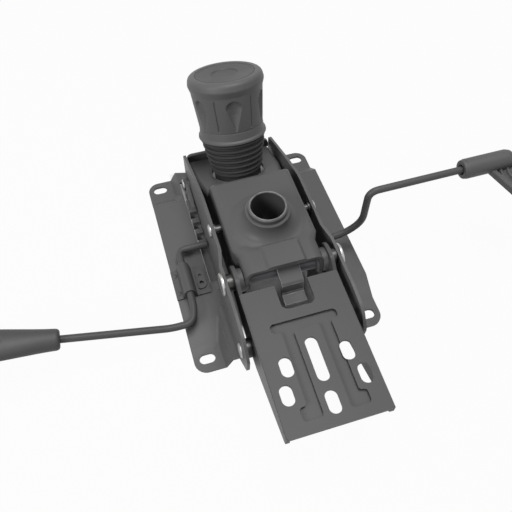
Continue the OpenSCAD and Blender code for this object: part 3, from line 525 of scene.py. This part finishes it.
def through(table, x):
    """Smooth values at x through rows of (x, value, value)."""
    i = max([k for k in range(len(table) - 1) if table[k][0] <= x], default=0)
    a, b = table[i], table[i + 1]
    before, after = table[max(i - 1, 0)], table[min(i + 2, len(table) - 1)]
    span = b[0] - a[0]
    t = (x - a[0]) / span
    made = []
    for k in range(1, len(a)):
        rise_a, rise_b = (b[k] - before[k]) / (b[0] - before[0]), (after[k] - a[k]) / (after[0] - a[0])
        made.append((2 * t ** 3 - 3 * t ** 2 + 1) * a[k] + (t ** 3 - 2 * t ** 2 + t) * span * rise_a
                    + (3 * t ** 2 - 2 * t ** 3) * b[k] + (t ** 3 - t ** 2) * span * rise_b)
    return made


def step_up(low, high, x):
    """Smooth step from nought at low to one at high."""
    t = min(1, max(0, (x - low) / (high - low)))
    return t * t * (3 - 2 * t)


def swept_front(form):
    """Turns the housing's flat front slope into an S that leaves the floor and meets the deck smoothly."""
    # y of the slope's two ends, the slope itself, and the directions of the S at its ends
    top, low = 18 * MM, 32 * MM
    chord, leave, meet = Vector((0, 14, -24)) * MM, Vector((0, 7, 0)) * MM, Vector((0, -7.5, 2.9)) * MM

    def near(vert, y):
        return abs(vert.co.y - y) < 0.3 * MM and vert.co.z > 50 * MM

    slope = [e for e in form.edges
             if any(near(a, top) and near(b, low) for a, b in (e.verts, reversed(e.verts)))]
    cuts = bmesh.ops.subdivide_edges(form, edges=slope, cuts=9, use_grid_fill=True)["geom_inner"]
    for vert in cuts:
        if isinstance(vert, bmesh.types.BMVert):
            t = (vert.co.y - top) / (low - top)
            vert.co += 3 * (1 - t) ** 2 * t * (leave - chord / 3) + 3 * (1 - t) * t ** 2 * (chord / 3 + meet)


def flush_web(form):
    """Lifts the floor of the web's recess flush, so that the raised panel can take its place."""
    across = WEB.to_3x3() @ Vector((0, 0, 1))
    deep, lift, near = 0.6 * MM, 0.58 * MM, 0.03 * MM
    for vert in form.verts:
        if abs((vert.co - WEB.translation).dot(across) + deep) < near:
            vert.co += across * lift


class Tree:
    """Geometry Nodes tree of one kind of repeated or wound piece, with its sizes as named inputs."""

    def __init__(self, name, **inputs):
        self.tree = bpy.data.node_groups.new(name, "GeometryNodeTree")
        face = self.tree.interface
        face.new_socket("Geometry", in_out="INPUT", socket_type="NodeSocketGeometry")
        for key, (kind, value) in inputs.items():
            socket = face.new_socket(key, in_out="INPUT", socket_type=kind)
            if value is not None:
                socket.default_value = value
        face.new_socket("Geometry", in_out="OUTPUT", socket_type="NodeSocketGeometry")
        self.start = self.tree.nodes.new("NodeGroupInput")
        self.end = self.tree.nodes.new("NodeGroupOutput")

    def add(self, kind, out=0, **values):
        """A node; a value is a number, the name of a tree input or the socket of another node."""
        node = self.tree.nodes.new(kind)
        for key, value in values.items():
            socket = [s for s in node.inputs if s.name == key.replace("_", " ") and s.enabled][0]
            if isinstance(value, str):
                value = self.start.outputs[value]
            if isinstance(value, bpy.types.NodeSocket):
                self.tree.links.new(value, socket)
            else:
                socket.default_value = value
        return node.outputs[out]

    def math(self, operation, a, b):
        """A tree input worked on with a number."""
        node = self.tree.nodes.new("ShaderNodeMath")
        node.operation = operation
        self.tree.links.new(self.start.outputs[a], node.inputs[0])
        node.inputs[1].default_value = b
        return node.outputs[0]

    def attribute(self, name):
        """A vector written on the points."""
        node = self.tree.nodes.new("GeometryNodeInputNamedAttribute")
        node.data_type = "FLOAT_VECTOR"
        node.inputs["Name"].default_value = name
        return node.outputs["Attribute"]

    def finish(self, shape):
        """Ends the tree in real geometry with its finish."""
        real = self.add("GeometryNodeRealizeInstances", Geometry=shape)
        done = self.add("GeometryNodeSetMaterial", Geometry=real, Material="Finish")
        self.tree.links.new(done, self.end.inputs[0])

    def run(self, name, points, turns=None, path=False, **values):
        """Runs the tree on a cloud of points, or along them, and keeps its result as plain mesh."""
        mesh = bpy.data.meshes.new(name)
        mesh.from_pydata(points, [(i, i + 1) for i in range(len(points) - 1)] if path else [], [])
        if turns:
            layer = mesh.attributes.new("turn", "FLOAT_VECTOR", "POINT")
            layer.data.foreach_set("vector", [c for turn in turns for c in turn])
        piece = new_piece(name, mesh)
        way = piece.modifiers.new(name, "NODES")
        way.node_group = self.tree
        for item in self.tree.interface.items_tree:
            if item.item_type == "SOCKET" and item.in_out == "INPUT" and item.name in values:
                way[item.identifier] = values[item.name]
        return settle(piece)


def seen_rays(tree):
    """One for what the camera sees straight, in a mirror or through glass, else nought."""
    rays = tree.nodes.new("ShaderNodeLightPath")
    found = rays.outputs["Is Camera Ray"]
    for name in ("Is Glossy Ray", "Is Transmission Ray"):
        either = tree.nodes.new("ShaderNodeMath")
        either.operation = "MAXIMUM"
        tree.links.new(found, either.inputs[0])
        tree.links.new(rays.outputs[name], either.inputs[1])
        found = either.outputs["Value"]
    return found


def area_light(name, place, target, size, power):
    """A square soft light that faces the target."""
    lamp = bpy.data.lights.new(name, "AREA")
    lamp.shape = "SQUARE"
    lamp.size = size
    lamp.energy = power
    light = bpy.data.objects.new(name, lamp)
    light.location = place
    light.rotation_euler = (Vector(target) - Vector(place)).to_track_quat("-Z", "Y").to_euler()
    bpy.context.scene.collection.objects.link(light)


class TILT_OT_stage(bpy.types.Operator):
    """Pale floor, soft light and the camera"""
    bl_idname = "tilt.stage"
    bl_label = "Stage"
    # lamps: place, size and power; both face the middle of the object
    lamps = {"key": ((-0.90, -0.45, 0.75), 0.5, 7), "top": ((0.20, 0.10, 2.40), 1.2, 38)}
    middle = (0, 0, 0.05)
    # painted shadow on the floor under the object, where the white lift is left out: half its width and its
    # two ends, each with its soft edge, and the tone it keeps
    under_wide, under_ends, under_tone = (0.050, 0.062), ((-0.076, -0.088), (0.110, 0.122)), 0.02

    def execute(self, context):
        stage = settings("stage")
        scene = context.scene
        scene.view_settings.view_transform = "Standard"
        camera = bpy.data.cameras.new("camera")
        camera.lens = stage.lens
        camera.sensor_width = 36
        camera.clip_start = 0.01
        eye = bpy.data.objects.new("camera", camera)
        turn, lift = stage.azimuth, stage.elevation
        gaze = Vector((-math.sin(turn) * math.cos(lift), math.cos(turn) * math.cos(lift), -math.sin(lift)))
        eye.location = stage.place
        eye.rotation_euler = gaze.to_track_quat("-Z", "Y").to_euler()
        scene.collection.objects.link(eye)
        scene.camera = eye

        bpy.ops.mesh.primitive_plane_add(size=12)
        floor = context.object
        floor.name = "floor"
        floor.data.materials.append(self.floor_finish(stage))

        world = bpy.data.worlds.new("studio")
        world.use_nodes = True
        scene.world = world
        tree = world.node_tree
        sky = tree.nodes["Background"]
        sky.inputs["Color"].default_value = (1, 1, 1, 1)
        sky.inputs["Strength"].default_value = stage.sky
        seen = tree.nodes.new("ShaderNodeBackground")
        seen.inputs["Color"].default_value = (1, 1, 1, 1)
        mix = tree.nodes.new("ShaderNodeMixShader")
        tree.links.new(seen_rays(tree), mix.inputs["Fac"])
        tree.links.new(sky.outputs["Background"], mix.inputs[1])
        tree.links.new(seen.outputs["Background"], mix.inputs[2])
        tree.links.new(mix.outputs["Shader"], tree.nodes["World Output"].inputs["Surface"])

        for name, (place, size, power) in self.lamps.items():
            area_light(name, place, self.middle, size, power)
        return {"FINISHED"}

    def floor_finish(self, stage):
        """White paper to the camera and in mirrors, a painted shadow under the object, a pale floor to other
        light.
        """
        made = Finish("floor_paper").set(Roughness=0.9)
        fibre = made.noise(60, 4)
        tone = made.blend(made.spread(fibre, 0, 1), shade(stage.floor, 0.985), stage.floor)
        made.paint(tone, None, made.bump(fibre, 0.02, 0.0002))
        glow = made.add("ShaderNodeEmission")
        glow.inputs["Color"].default_value = (1, 1, 1, 1)
        parts = made.add("ShaderNodeSeparateXYZ")
        made.join(made.place, parts.inputs["Vector"])
        beside = made.add("ShaderNodeMath", operation="ABSOLUTE")
        made.join(parts.outputs["X"], beside.inputs[0])
        # painted shadow: under the object the floor keeps a dark tone instead of the white lift
        clear = made.spread(beside.outputs["Value"], self.under_tone, stage.paper, *self.under_wide)
        for near, far in self.under_ends:
            most = made.add("ShaderNodeMath", operation="MAXIMUM")
            made.join(clear, most.inputs[0])
            beyond = made.spread(parts.outputs["Y"], self.under_tone, stage.paper, near, far)
            made.join(beyond, most.inputs[1])
            clear = most.outputs["Value"]
        mix = made.add("ShaderNodeMixShader")
        made.join(made.times(seen_rays(made.tree), clear), mix.inputs["Fac"])
        made.join(made.shader.outputs["BSDF"], mix.inputs[1])
        made.join(glow.outputs["Emission"], mix.inputs[2])
        made.join(mix.outputs["Shader"], made.tree.nodes["Material Output"].inputs["Surface"])
        return made.material


class TILT_OT_steel(bpy.types.Operator):
    """Pressed steel pieces with softened edges and powder coat"""
    bl_idname = "tilt.steel"
    bl_label = "Pressed steel"
    press = {"housing": swept_front, "back_bracket": flush_web}
    # raised panel on the web: x and y on the web, corner
    panel = ((-26.8, -31.7, 3.5), (27.6, -31.7, 3.5), (27.6, -39.5, 3), (21, -39.5, 2.5), (21, -98.5, 2.5),
             (26.7, -98.5, 3), (26.7, -109.2, 3), (10.9, -109.2, 3), (10.9, -41, 2), (-9.8, -41, 2),
             (-9.8, -109.2, 3), (-25.5, -109.2, 3), (-25.5, -98.5, 3), (-19.3, -98.5, 2.5),
             (-19.3, -39.5, 2.5), (-26.8, -39.5, 3))
    # heights of the panel's foot and face and of its groove's floor, and the groove's width
    panel_foot, panel_face, groove_floor, groove_wide = -1.4, 0.3, -0.6, 0.7
    # slots of the web: x, y, length; half their width, and the room at their ends
    slots = ((-24.2, -67, 16), (24.2, -67, 16), (-30.5, -87.5, 16), (30.5, -87.5, 16),
             (0, -101, 18), (0, -67, 36))
    slot_half, slot_room = 5.6, 0.6
    # recess round the boot's foot: radius and height along the knob's axis
    recess = ((0.02, -3.6), (25, -3.6), (25, 4), (0.02, 4))
    # comb: first gap, pitch and count of the gaps, half a gap, and the x of its mouth and floor
    gap_first, gap_pitch, gap_count, gap_half, gap_mouth, gap_floor = 12.3 + 6.8, 13.6, 3, 3.5, -56, -47.9

    def execute(self, context):
        edge = settings("finish").edge_width
        works = {"back_bracket": self.raise_panel, "housing": self.sink_boot, "lock_comb": self.notch_comb}
        for node, slot in SLOT_OF.items():
            if slot == "painted_steel" and node not in ("lock_lever", "release_lever"):
                piece = softened(node, edge, self.press.get(node))
                if node in works:
                    works[node](piece)
                    evened(piece)
                seat(piece, node)
        return {"FINISHED"}

    def raise_panel(self, piece):
        """The web's raised panel in its groove, with the slots cut through it."""
        half, cuts = self.slot_half, []
        for x, y, length in self.slots:
            reach = length / 2 + self.slot_room
            corners = [(x + i * half, y + j * reach, half - 0.05)
                       for i, j in ((-1, -1), (1, -1), (1, 1), (-1, 1))]
            cuts.append(slab(corners, -4, 4, WEB))
        raised = slab(self.panel, self.panel_foot, self.panel_face, WEB, self.groove_wide)
        fused(raised, cuts, "DIFFERENCE")
        fused(piece, [slab(self.panel, self.groove_floor, 2, WEB)], "DIFFERENCE")
        fused(piece, [raised])

    def sink_boot(self, piece):
        """The recess in the housing's floor that the boot's foot stands in."""
        hole = lathe("recess", [Vector(point) for point in self.recess], 96, ends=True)
        fused(piece, [new_piece("recess", hole)], "DIFFERENCE")

    def notch_comb(self, piece):
        """The gaps between the comb's teeth."""
        half, mouth, floor, corner = self.gap_half, self.gap_mouth, self.gap_floor, 2.6
        cuts = []
        for i in range(self.gap_count):
            y = self.gap_first + self.gap_pitch * i
            gap = ((mouth, y - half, 0), (floor, y - half, corner),
                   (floor, y + half, corner), (mouth, y + half, 0))
            cuts.append(slab(gap, -3, 30, Matrix.Identity(4)))
        fused(piece, cuts, "DIFFERENCE")


class TILT_OT_fittings(bpy.types.Operator):
    """Plated pins, rings, bolts and nuts"""
    bl_idname = "tilt.fittings"
    bl_label = "Plated fittings"
    # place in y and z, then the outline of one of the two: radius, distance from the middle, corner
    pairs = {
        "link_pins": (-121, 47, (
            (0, 35.8, 0), (6.5, 35.8, 0.4), (6.5, 38.3, 0.3), (5, 38.3, 0), (5, 49.5, 0), (6.5, 49.5, 0.2),
            (6.5, 50.5, 0.5), (5.2, 51.6, 2), (2, 52, 3), (0, 52, 0))),
        "stop_pins": (-17, 70, (
            (0, 32.5, 0), (4, 32.5, 0.4), (4, 41.5, 0), (5.5, 41.5, 0.3), (5.5, 43.5, 0.3), (4, 43.5, 0),
            (4, 46, 0), (6, 46, 0.2), (6, 47, 0.5), (4.8, 48.1, 2), (2, 48.5, 3), (0, 48.5, 0))),
        "axle_rings": (-71.5, 69, (
            (6.05, 49.5, 0), (10, 49.5, 0.3), (10, 51.2, 0.6), (9.2, 52, 0.6), (6.4, 52, 0.3),
            (6.05, 51.6, 0.2))),
        "ear_spacers": (-71.5, 69, ((6.05, 41.3, 0), (7.4, 41.3, 0.3), (7.4, 47, 0.3), (6.05, 47, 0))),
        "link_spacers": (-121, 47, ((5.05, 41.3, 0), (8, 41.3, 0.3), (8, 47, 0.3), (5.05, 47, 0))),
    }
    # how far out from the middle the plating is darkened by grease and painted shade between the walls, on
    # the stop pins and on the rest
    stop_grease, grease = 45.9, 49.4

    def execute(self, context):
        for node, slot in SLOT_OF.items():
            if (slot == "zinc_steel" or node == "tilt_axle") and node not in self.pairs:
                seat(softened(node, SMALL_EDGE), node)
        tree = Tree("facing_pair", Form=("NodeSocketObject", None), Finish=("NodeSocketMaterial", None))
        form = tree.add("GeometryNodeObjectInfo", out="Geometry", Object="Form")
        turn = tree.add("FunctionNodeEulerToRotation", Euler=tree.attribute("turn"))
        tree.finish(tree.add("GeometryNodeInstanceOnPoints", Points="Geometry", Instance=form, Rotation=turn))
        for node, (y, z, outline) in self.pairs.items():
            form = new_piece("form", turned("form", rounded(outline, 5, True), outline[0][0] > 0))
            pair = tree.run(node + "_pair", [Vector((0, y, z)) * MM] * 2, [(0, 0, 0), (0, 0, math.pi)],
                            Form=form, Finish=finish_of(SLOT_OF[node]))
            bpy.data.objects.remove(form)
            reach = (self.stop_grease if node == "stop_pins" else self.grease) * MM
            # faces between the walls take the grease and the painted shade
            layer = pair.data.attributes.new("grease", "FLOAT", "FACE")
            shaded = [float(abs(face.center.x) < reach) for face in pair.data.polygons]
            layer.data.foreach_set("value", shaded)
            seat(polish(pair, 34), node)
        return {"FINISHED"}


class TILT_OT_knob(bpy.types.Operator):
    """Tension knob with drop-shaped finger grooves, and its cap"""
    bl_idname = "tilt.knob"
    bl_label = "Tension knob"
    # outlines: radius, height along the axis, corner
    body = ((5.3, 64.6, 0), (21.5, 64.6, 0), (21.5, 45.2, 0), (27.6, 45.2, 0), (27.6, 41.5, 0.2),
            (30.5, 41.3, 0), (30.5, 39.5, 0.2), (31.6, 39.5, 0.5), (31.3, 41.5, 0.5), (29.9, 42.7, 1.0),
            (29.4, 49.5, 0.3), (28.9, 50.0, 0.2), (29.5, 50.5, 0.3), (32.6, 83.0, 5.0), (34.4, 88.8, 4.2),
            (33.0, 95.4, 5.2), (26.7, 96.0, 0.3), (26.6, 92.1, 0), (5.3, 92.1, 0))
    top = ((0.3, 92.1, 0), (26.5, 92.1, 0), (26.5, 95.7, 0.3), (25.9, 96.0, 0.3), (24.6, 95.9, 0.4),
           (24.2, 95.6, 0.3), (12.6, 95.2, 0.6), (11.4, 94.2, 0.8), (4, 93.9, 2), (0.3, 93.9, 0))

    def execute(self, context):
        look = settings("knob")
        deep, wide = look.groove_deep / MM, look.groove_wide / MM
        part = 2 * math.pi / look.grooves
        # heights of a groove's tip, widest place and round end; what is carved ends at a height and a radius
        low, full, high, end, wall = 50.4, 73.0, 79.6, 83, 28
        # seam between two grooves: its ends, half width and depth
        seam_low, seam_high, seam_half, seam_deep = low + 0.4, 81.5, 0.8, 0.9

        def carve(turn, s, r):
            if s < low or s > end or r < wall:
                return r
            off = r * ((turn - look.phase + part / 2) % part - part / 2)
            if s < full:
                share = (s - low) / (full - low)
                half, cut = wide * share ** 0.9, deep * min(1, 1.35 * share) ** 0.8
            else:
                half, cut = wide * math.sqrt(max(0, 1 - ((s - full) / (high - full)) ** 2)), deep
            if abs(off) < half:
                return r - cut * (1 - (off / half) ** 2) ** 0.75
            off = r * ((turn - look.phase) % part - part / 2)
            if abs(off) < seam_half and seam_low < s < seam_high:
                fade = min(1, (s - seam_low) / 2, (seam_high - s) / 1.5)
                return r - seam_deep * (1 - (off / seam_half) ** 2) * fade
            return r

        outline = rounded(self.body, 7, True)
        loop = fine(outline + outline[:1], 0.75, wall)[:-1]
        body = new_piece("knob_body", lathe("knob_body", loop, 400, carve, ring=True))
        seat(polish(body), "tension_knob")
        cap = new_piece("knob_top", lathe("knob_top", rounded(self.top), 128, ends=True))
        seat(polish(cap), "knob_cap")
        return {"FINISHED"}


class TILT_OT_boot(bpy.types.Operator):
    """Ribbed rubber boot and the spring inside it"""
    bl_idname = "tilt.boot"
    bl_label = "Boot and spring"

    def execute(self, context):
        # outline: radius, height along the axis and corner
        outer = [(22.4, -4.0, 0), (22.4, 2.4, 0.8), (24.2, 5.0, 0.8), (24.2, 6.2, 0.6)]
        inner = [(21.0, -4.0, 0)]
        # count of the folds, height of the first, their pitch, and the first one's radius and its growth
        folds, first, pitch, crest, growth = 6, 9.5, 5.5, 25.3, 0.94
        for i in range(folds):
            s, r = first + pitch * i, crest + growth * i
            outer += [(r - 3.0, s - 1.7, 0.7), (r - 0.25, s - 0.85, 0.5), (r, s, 0.4),
                      (r - 0.25, s + 0.85, 0.5), (r - 3.0, s + 1.7, 0.7)]
            inner.append((r - 4.2, s, 0))
        outer += [(27.0, 42.4, 0.3), (25.9, 42.4, 0)]
        profile = rounded(outer, 3) + [Vector(p[:2]) for p in reversed(inner)]
        boot = seat(polish(new_piece("boot", lathe("boot", profile, 144, ring=True)), 60), "spring_boot")
        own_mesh(boot)

        wire = settings("knob").wire
        tree = Tree("coil_spring", Wire=("NodeSocketFloat", wire), Radius=("NodeSocketFloat", 16.8 * MM),
                    Turns=("NodeSocketFloat", 5.0), Height=("NodeSocketFloat", 50.7 * MM),
                    Finish=("NodeSocketMaterial", None))
        coil = tree.add("GeometryNodeCurveSpiral", Resolution=40, Rotations="Turns", Start_Radius="Radius",
                        End_Radius="Radius", Height="Height")
        half = tree.math("MULTIPLY", "Wire", 0.5)
        ring = tree.add("GeometryNodeCurvePrimitiveCircle", Resolution=14, Radius=half)
        wound = tree.add("GeometryNodeCurveToMesh", Curve=coil, Profile_Curve=ring, Fill_Caps=True)
        stood = tree.add("GeometryNodeTransform", Geometry=wound,
                         Translation=FOOT + LEAN * (2.8 * MM + wire / 2), Rotation=(-LEAN_ANGLE, 0, 0))
        tree.finish(stood)
        coil = tree.run("spring_coil", [(0, 0, 0)], Wire=wire, Finish=finish_of("spring_steel"))
        seat(polish(coil, 60), "main_spring")
        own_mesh(coil)
        return {"FINISHED"}


class TILT_OT_levers(bpy.types.Operator):
    """Bent rods of the lock lever and the height lever, and their moulded handles"""
    bl_idname = "tilt.levers"
    bl_label = "Levers and handles"
    # corners of the rods
    lock_path = ((-205.2, -64.2, 43.8), (-98, -72, 20.5), (-79.6, -72, 20.5), (-75, -58, 21.3),
                 (-75, -44, 21.5), (-75, 5.5, 21.5), (-47.2, 5.5, 21.5))
    release_path = ((-4, -29, 30), (42, -29, 30), (78, -29, 34), (93, -29, 46), (93, -29, 87), (199, -29, 87))
    lock_ease, release_ease = 7, 9.5
    # half width and half thickness along the paddle
    paddle = ((3.4, 9.0, 9.0), (14, 9.9, 8.9), (30, 11.8, 8.7), (48, 13.9, 8.4), (64, 15.3, 8.2),
              (78, 16.0, 7.8), (90, 15.1, 7.0), (97, 12.9, 6.0), (101, 10.2, 4.8), (103.2, 7.4, 3.4),
              (104, 5.0, 2.0))
    # the height handle's place, and its sleeve's outline: radius, distance, corner
    wing_place = (181, -29, 87)
    sleeve = ((3.3, 25, 0), (3.3, 4, 0.3), (4.7, 3.6, 0.3), (4.8, 0, 0.4), (8.4, 0, 1.3), (8.6, 3.1, 0.2),
              (9, 3.5, 0.4), (9, 44, 3), (7.6, 48.6, 3), (4.5, 50.4, 2), (0, 50.4, 0))

    def execute(self, context):
        look = settings("lever")
        tree = Tree("bent_rod", Thickness=("NodeSocketFloat", look.rod), Finish=("NodeSocketMaterial", None))
        half = tree.math("MULTIPLY", "Thickness", 0.5)
        ring = tree.add("GeometryNodeCurvePrimitiveCircle", Resolution=28, Radius=half)
        way = tree.add("GeometryNodeMeshToCurve", Mesh="Geometry")
        tree.finish(tree.add("GeometryNodeCurveToMesh", Curve=way, Profile_Curve=ring, Fill_Caps=True))
        lock = tree.run("lock_rod", eased(self.lock_path, self.lock_ease), path=True, Thickness=look.rod,
                        Finish=finish_of("painted_steel", "lock_lever"))
        seat(polish(lock), "lock_lever")
        rod = tree.run("height_rod", eased(self.release_path, self.release_ease), path=True,
                       Thickness=look.rod, Finish=finish_of("painted_steel"))
        # the pivot's eye and its bore, and the tip that presses the gas lift
        pivot, tip = (22, -29, 30), (0, -29, 30)
        fused(rod, [drum(6.2, 7, *pivot), drum(5, 6, *tip)])
        seat(polish(fused(rod, [drum(2.55, 9, *pivot)], "DIFFERENCE")), "release_lever")
        self.paddle_handle(look)
        self.wing_handle(look)
        return {"FINISHED"}

    def paddle_handle(self, look):
        """Round neck that widens to a flat paddle, with a dish for the thumb."""
        end, before = (Vector(point) for point in self.lock_path[:2])
        along = (end - before).normalized()
        hold = 18
        start = end - along * hold
        up = (Vector((0, 0, 1)) - along * along.z).normalized()
        side = up.cross(along)
        turns = [2 * math.pi * k / 96 for k in range(96)]
        # the thumb's dish is part of an egg: its middle along the paddle, half length and radius
        dish_mid, dish_half, dish_round = 77, 64, 27

        def ring(x, wide, thick, cut=False):
            points = []
            for t in turns:
                y, z = wide * math.sin(t), thick * math.cos(t)
                inside = 1 - ((x - dish_mid) / dish_half) ** 2 - (y / dish_round) ** 2
                if cut and inside > 0:
                    z = min(z, dish_round + look.dish / MM - dish_round * math.sqrt(inside))
                points.append((start + along * x + side * y + up * z) * MM)
            return points

        rows = [ring(25, 3.3, 3.3), ring(0.5, 3.3, 3.3), ring(0, 3.8, 3.8), ring(0, 6.6, 6.6),
                ring(0.4, 7.6, 7.6), ring(1.1, 8.3, 8.3), ring(2.1, 8.8, 8.8)]
        stations = [3.4 + 0.8 * k for k in range(119)] + [98.6 + 0.4 * k for k in range(14)]
        rows += [ring(x, *through(self.paddle, x), True) for x in stations]
        seat(polish(new_piece("lock_grip", skin("lock_grip", rows, ends=True)), 28), "lock_handle")

    def wing_handle(self, look):
        """Sleeve with a stepped rim, and a wing to one side with a rail and curved ribs."""
        high = look.rib_high / MM
        # height of the wing's top, of the rail over it and of the underside, and the width of the edges
        top, rail, under, edge = -3.2, 2.9, -7, 0.5
        # place of the first rib, pitch of the ribs, and cuts across the wing
        rib_first, rib_pitch, steps = 33.5, 6.8, 130
        place = Vector(self.wing_place)

        def section(u):
            """Loop round the wing at a distance across it, with its corners, rail and ribs."""
            left = 24 + 0.262 * u if u >= 0 else 46
            right = 70
            if u > 42:
                left += 5 - math.sqrt(max(0, 25 - (u - 42) ** 2))
            if u > 35:
                right -= 12 - math.sqrt(max(0, 144 - (u - 35) ** 2))
            if u < 0:
                right -= 6 - math.sqrt(max(0, 36 - u * u))
            fade = 1 - step_up(39, 42, u)
            bend = 0.03 * (u - 17) ** 2 if u < 30 else 5.07 + 0.78 * (u - 30)
            tops = []
            for k in range(steps + 1):
                x = left + edge + (right - left - 2 * edge) * k / steps
                z = top + (rail * (1 - step_up(3.9, 4.7, x - left)) if u >= 0 else 0)
                for rib in range(look.ribs):
                    off = abs(x - rib_first - rib_pitch * rib - bend)
                    flank, tail = 1 - step_up(0.7, 1.8, off), step_up(1.5, 3.5, right - x)
                    z = max(z, top + high * fade * flank * tail)
                tops.append((x, z))
            loop = [(left + edge, under), (left, under + edge), (left, tops[0][1] - edge)] + tops
            loop += [(right, tops[-1][1] - edge), (right, under + edge), (right - edge, under)]
            return [(place + Vector((x, -u, z))) * MM for x, z in loop]

        levels = [-6 + 0.5 * k for k in range(12)] + [-0.01] + [0.5 * k for k in range(94)] + [46.98]
        wing = new_piece("wing", skin("wing", [section(u) for u in levels], ends=True))
        grip = new_piece("height_grip", turned("height_grip", rounded(self.sleeve, 6), False))
        grip.data.transform(Matrix.Translation(place * MM))
        seat(polish(fused(grip, [wing]), 36), "release_handle")


class TILT_OT_plastics(bpy.types.Operator):
    """Plastic bushes and rings on the axle"""
    bl_idname = "tilt.plastics"
    bl_label = "Bushes"
    # plastic pieces that other steps make
    elsewhere = ("tension_knob", "knob_cap", "lock_handle", "release_handle")

    def execute(self, context):
        for node, slot in SLOT_OF.items():
            if slot == "black_plastic" and node not in self.elsewhere:
                seat(softened(node, SMALL_EDGE), node)
        return {"FINISHED"}


STEPS = (TILT_OT_stage, TILT_OT_steel, TILT_OT_fittings, TILT_OT_knob, TILT_OT_boot, TILT_OT_levers,
         TILT_OT_plastics)


class TILT_PT_panel(bpy.types.Panel):
    """Lists the steps and their values"""
    bl_idname = "TILT_PT_panel"
    bl_label = "Tilt mechanism"
    bl_space_type = "VIEW_3D"
    bl_region_type = "UI"
    bl_category = "Tilt mechanism"

    def draw(self, context):
        for step in STEPS:
            self.layout.operator(step.bl_idname)
        for group in GROUPS:
            box = self.layout.box()
            values = settings(group)
            for key in values.__annotations__:
                box.prop(values, key)


GROUPS = {"finish": FinishSettings, "knob": KnobSettings, "lever": LeverSettings, "stage": StageSettings}
CLASSES = (*GROUPS.values(), *STEPS, TILT_PT_panel)


def register():
    """Adds the classes and their values to Blender."""
    for kind in CLASSES:
        bpy.utils.register_class(kind)
    for name, kind in GROUPS.items():
        setattr(bpy.types.Scene, "tilt_" + name, PointerProperty(type=kind))


def unregister():
    """Takes the classes and their values away again."""
    for name in GROUPS:
        delattr(bpy.types.Scene, "tilt_" + name)
    for kind in reversed(CLASSES):
        bpy.utils.unregister_class(kind)


def main():
    """Runs every step."""
    register()
    for step in STEPS:
        group, name = step.bl_idname.split(".")
        getattr(getattr(bpy.ops, group), name)()


if __name__ == "__main__":
    main()
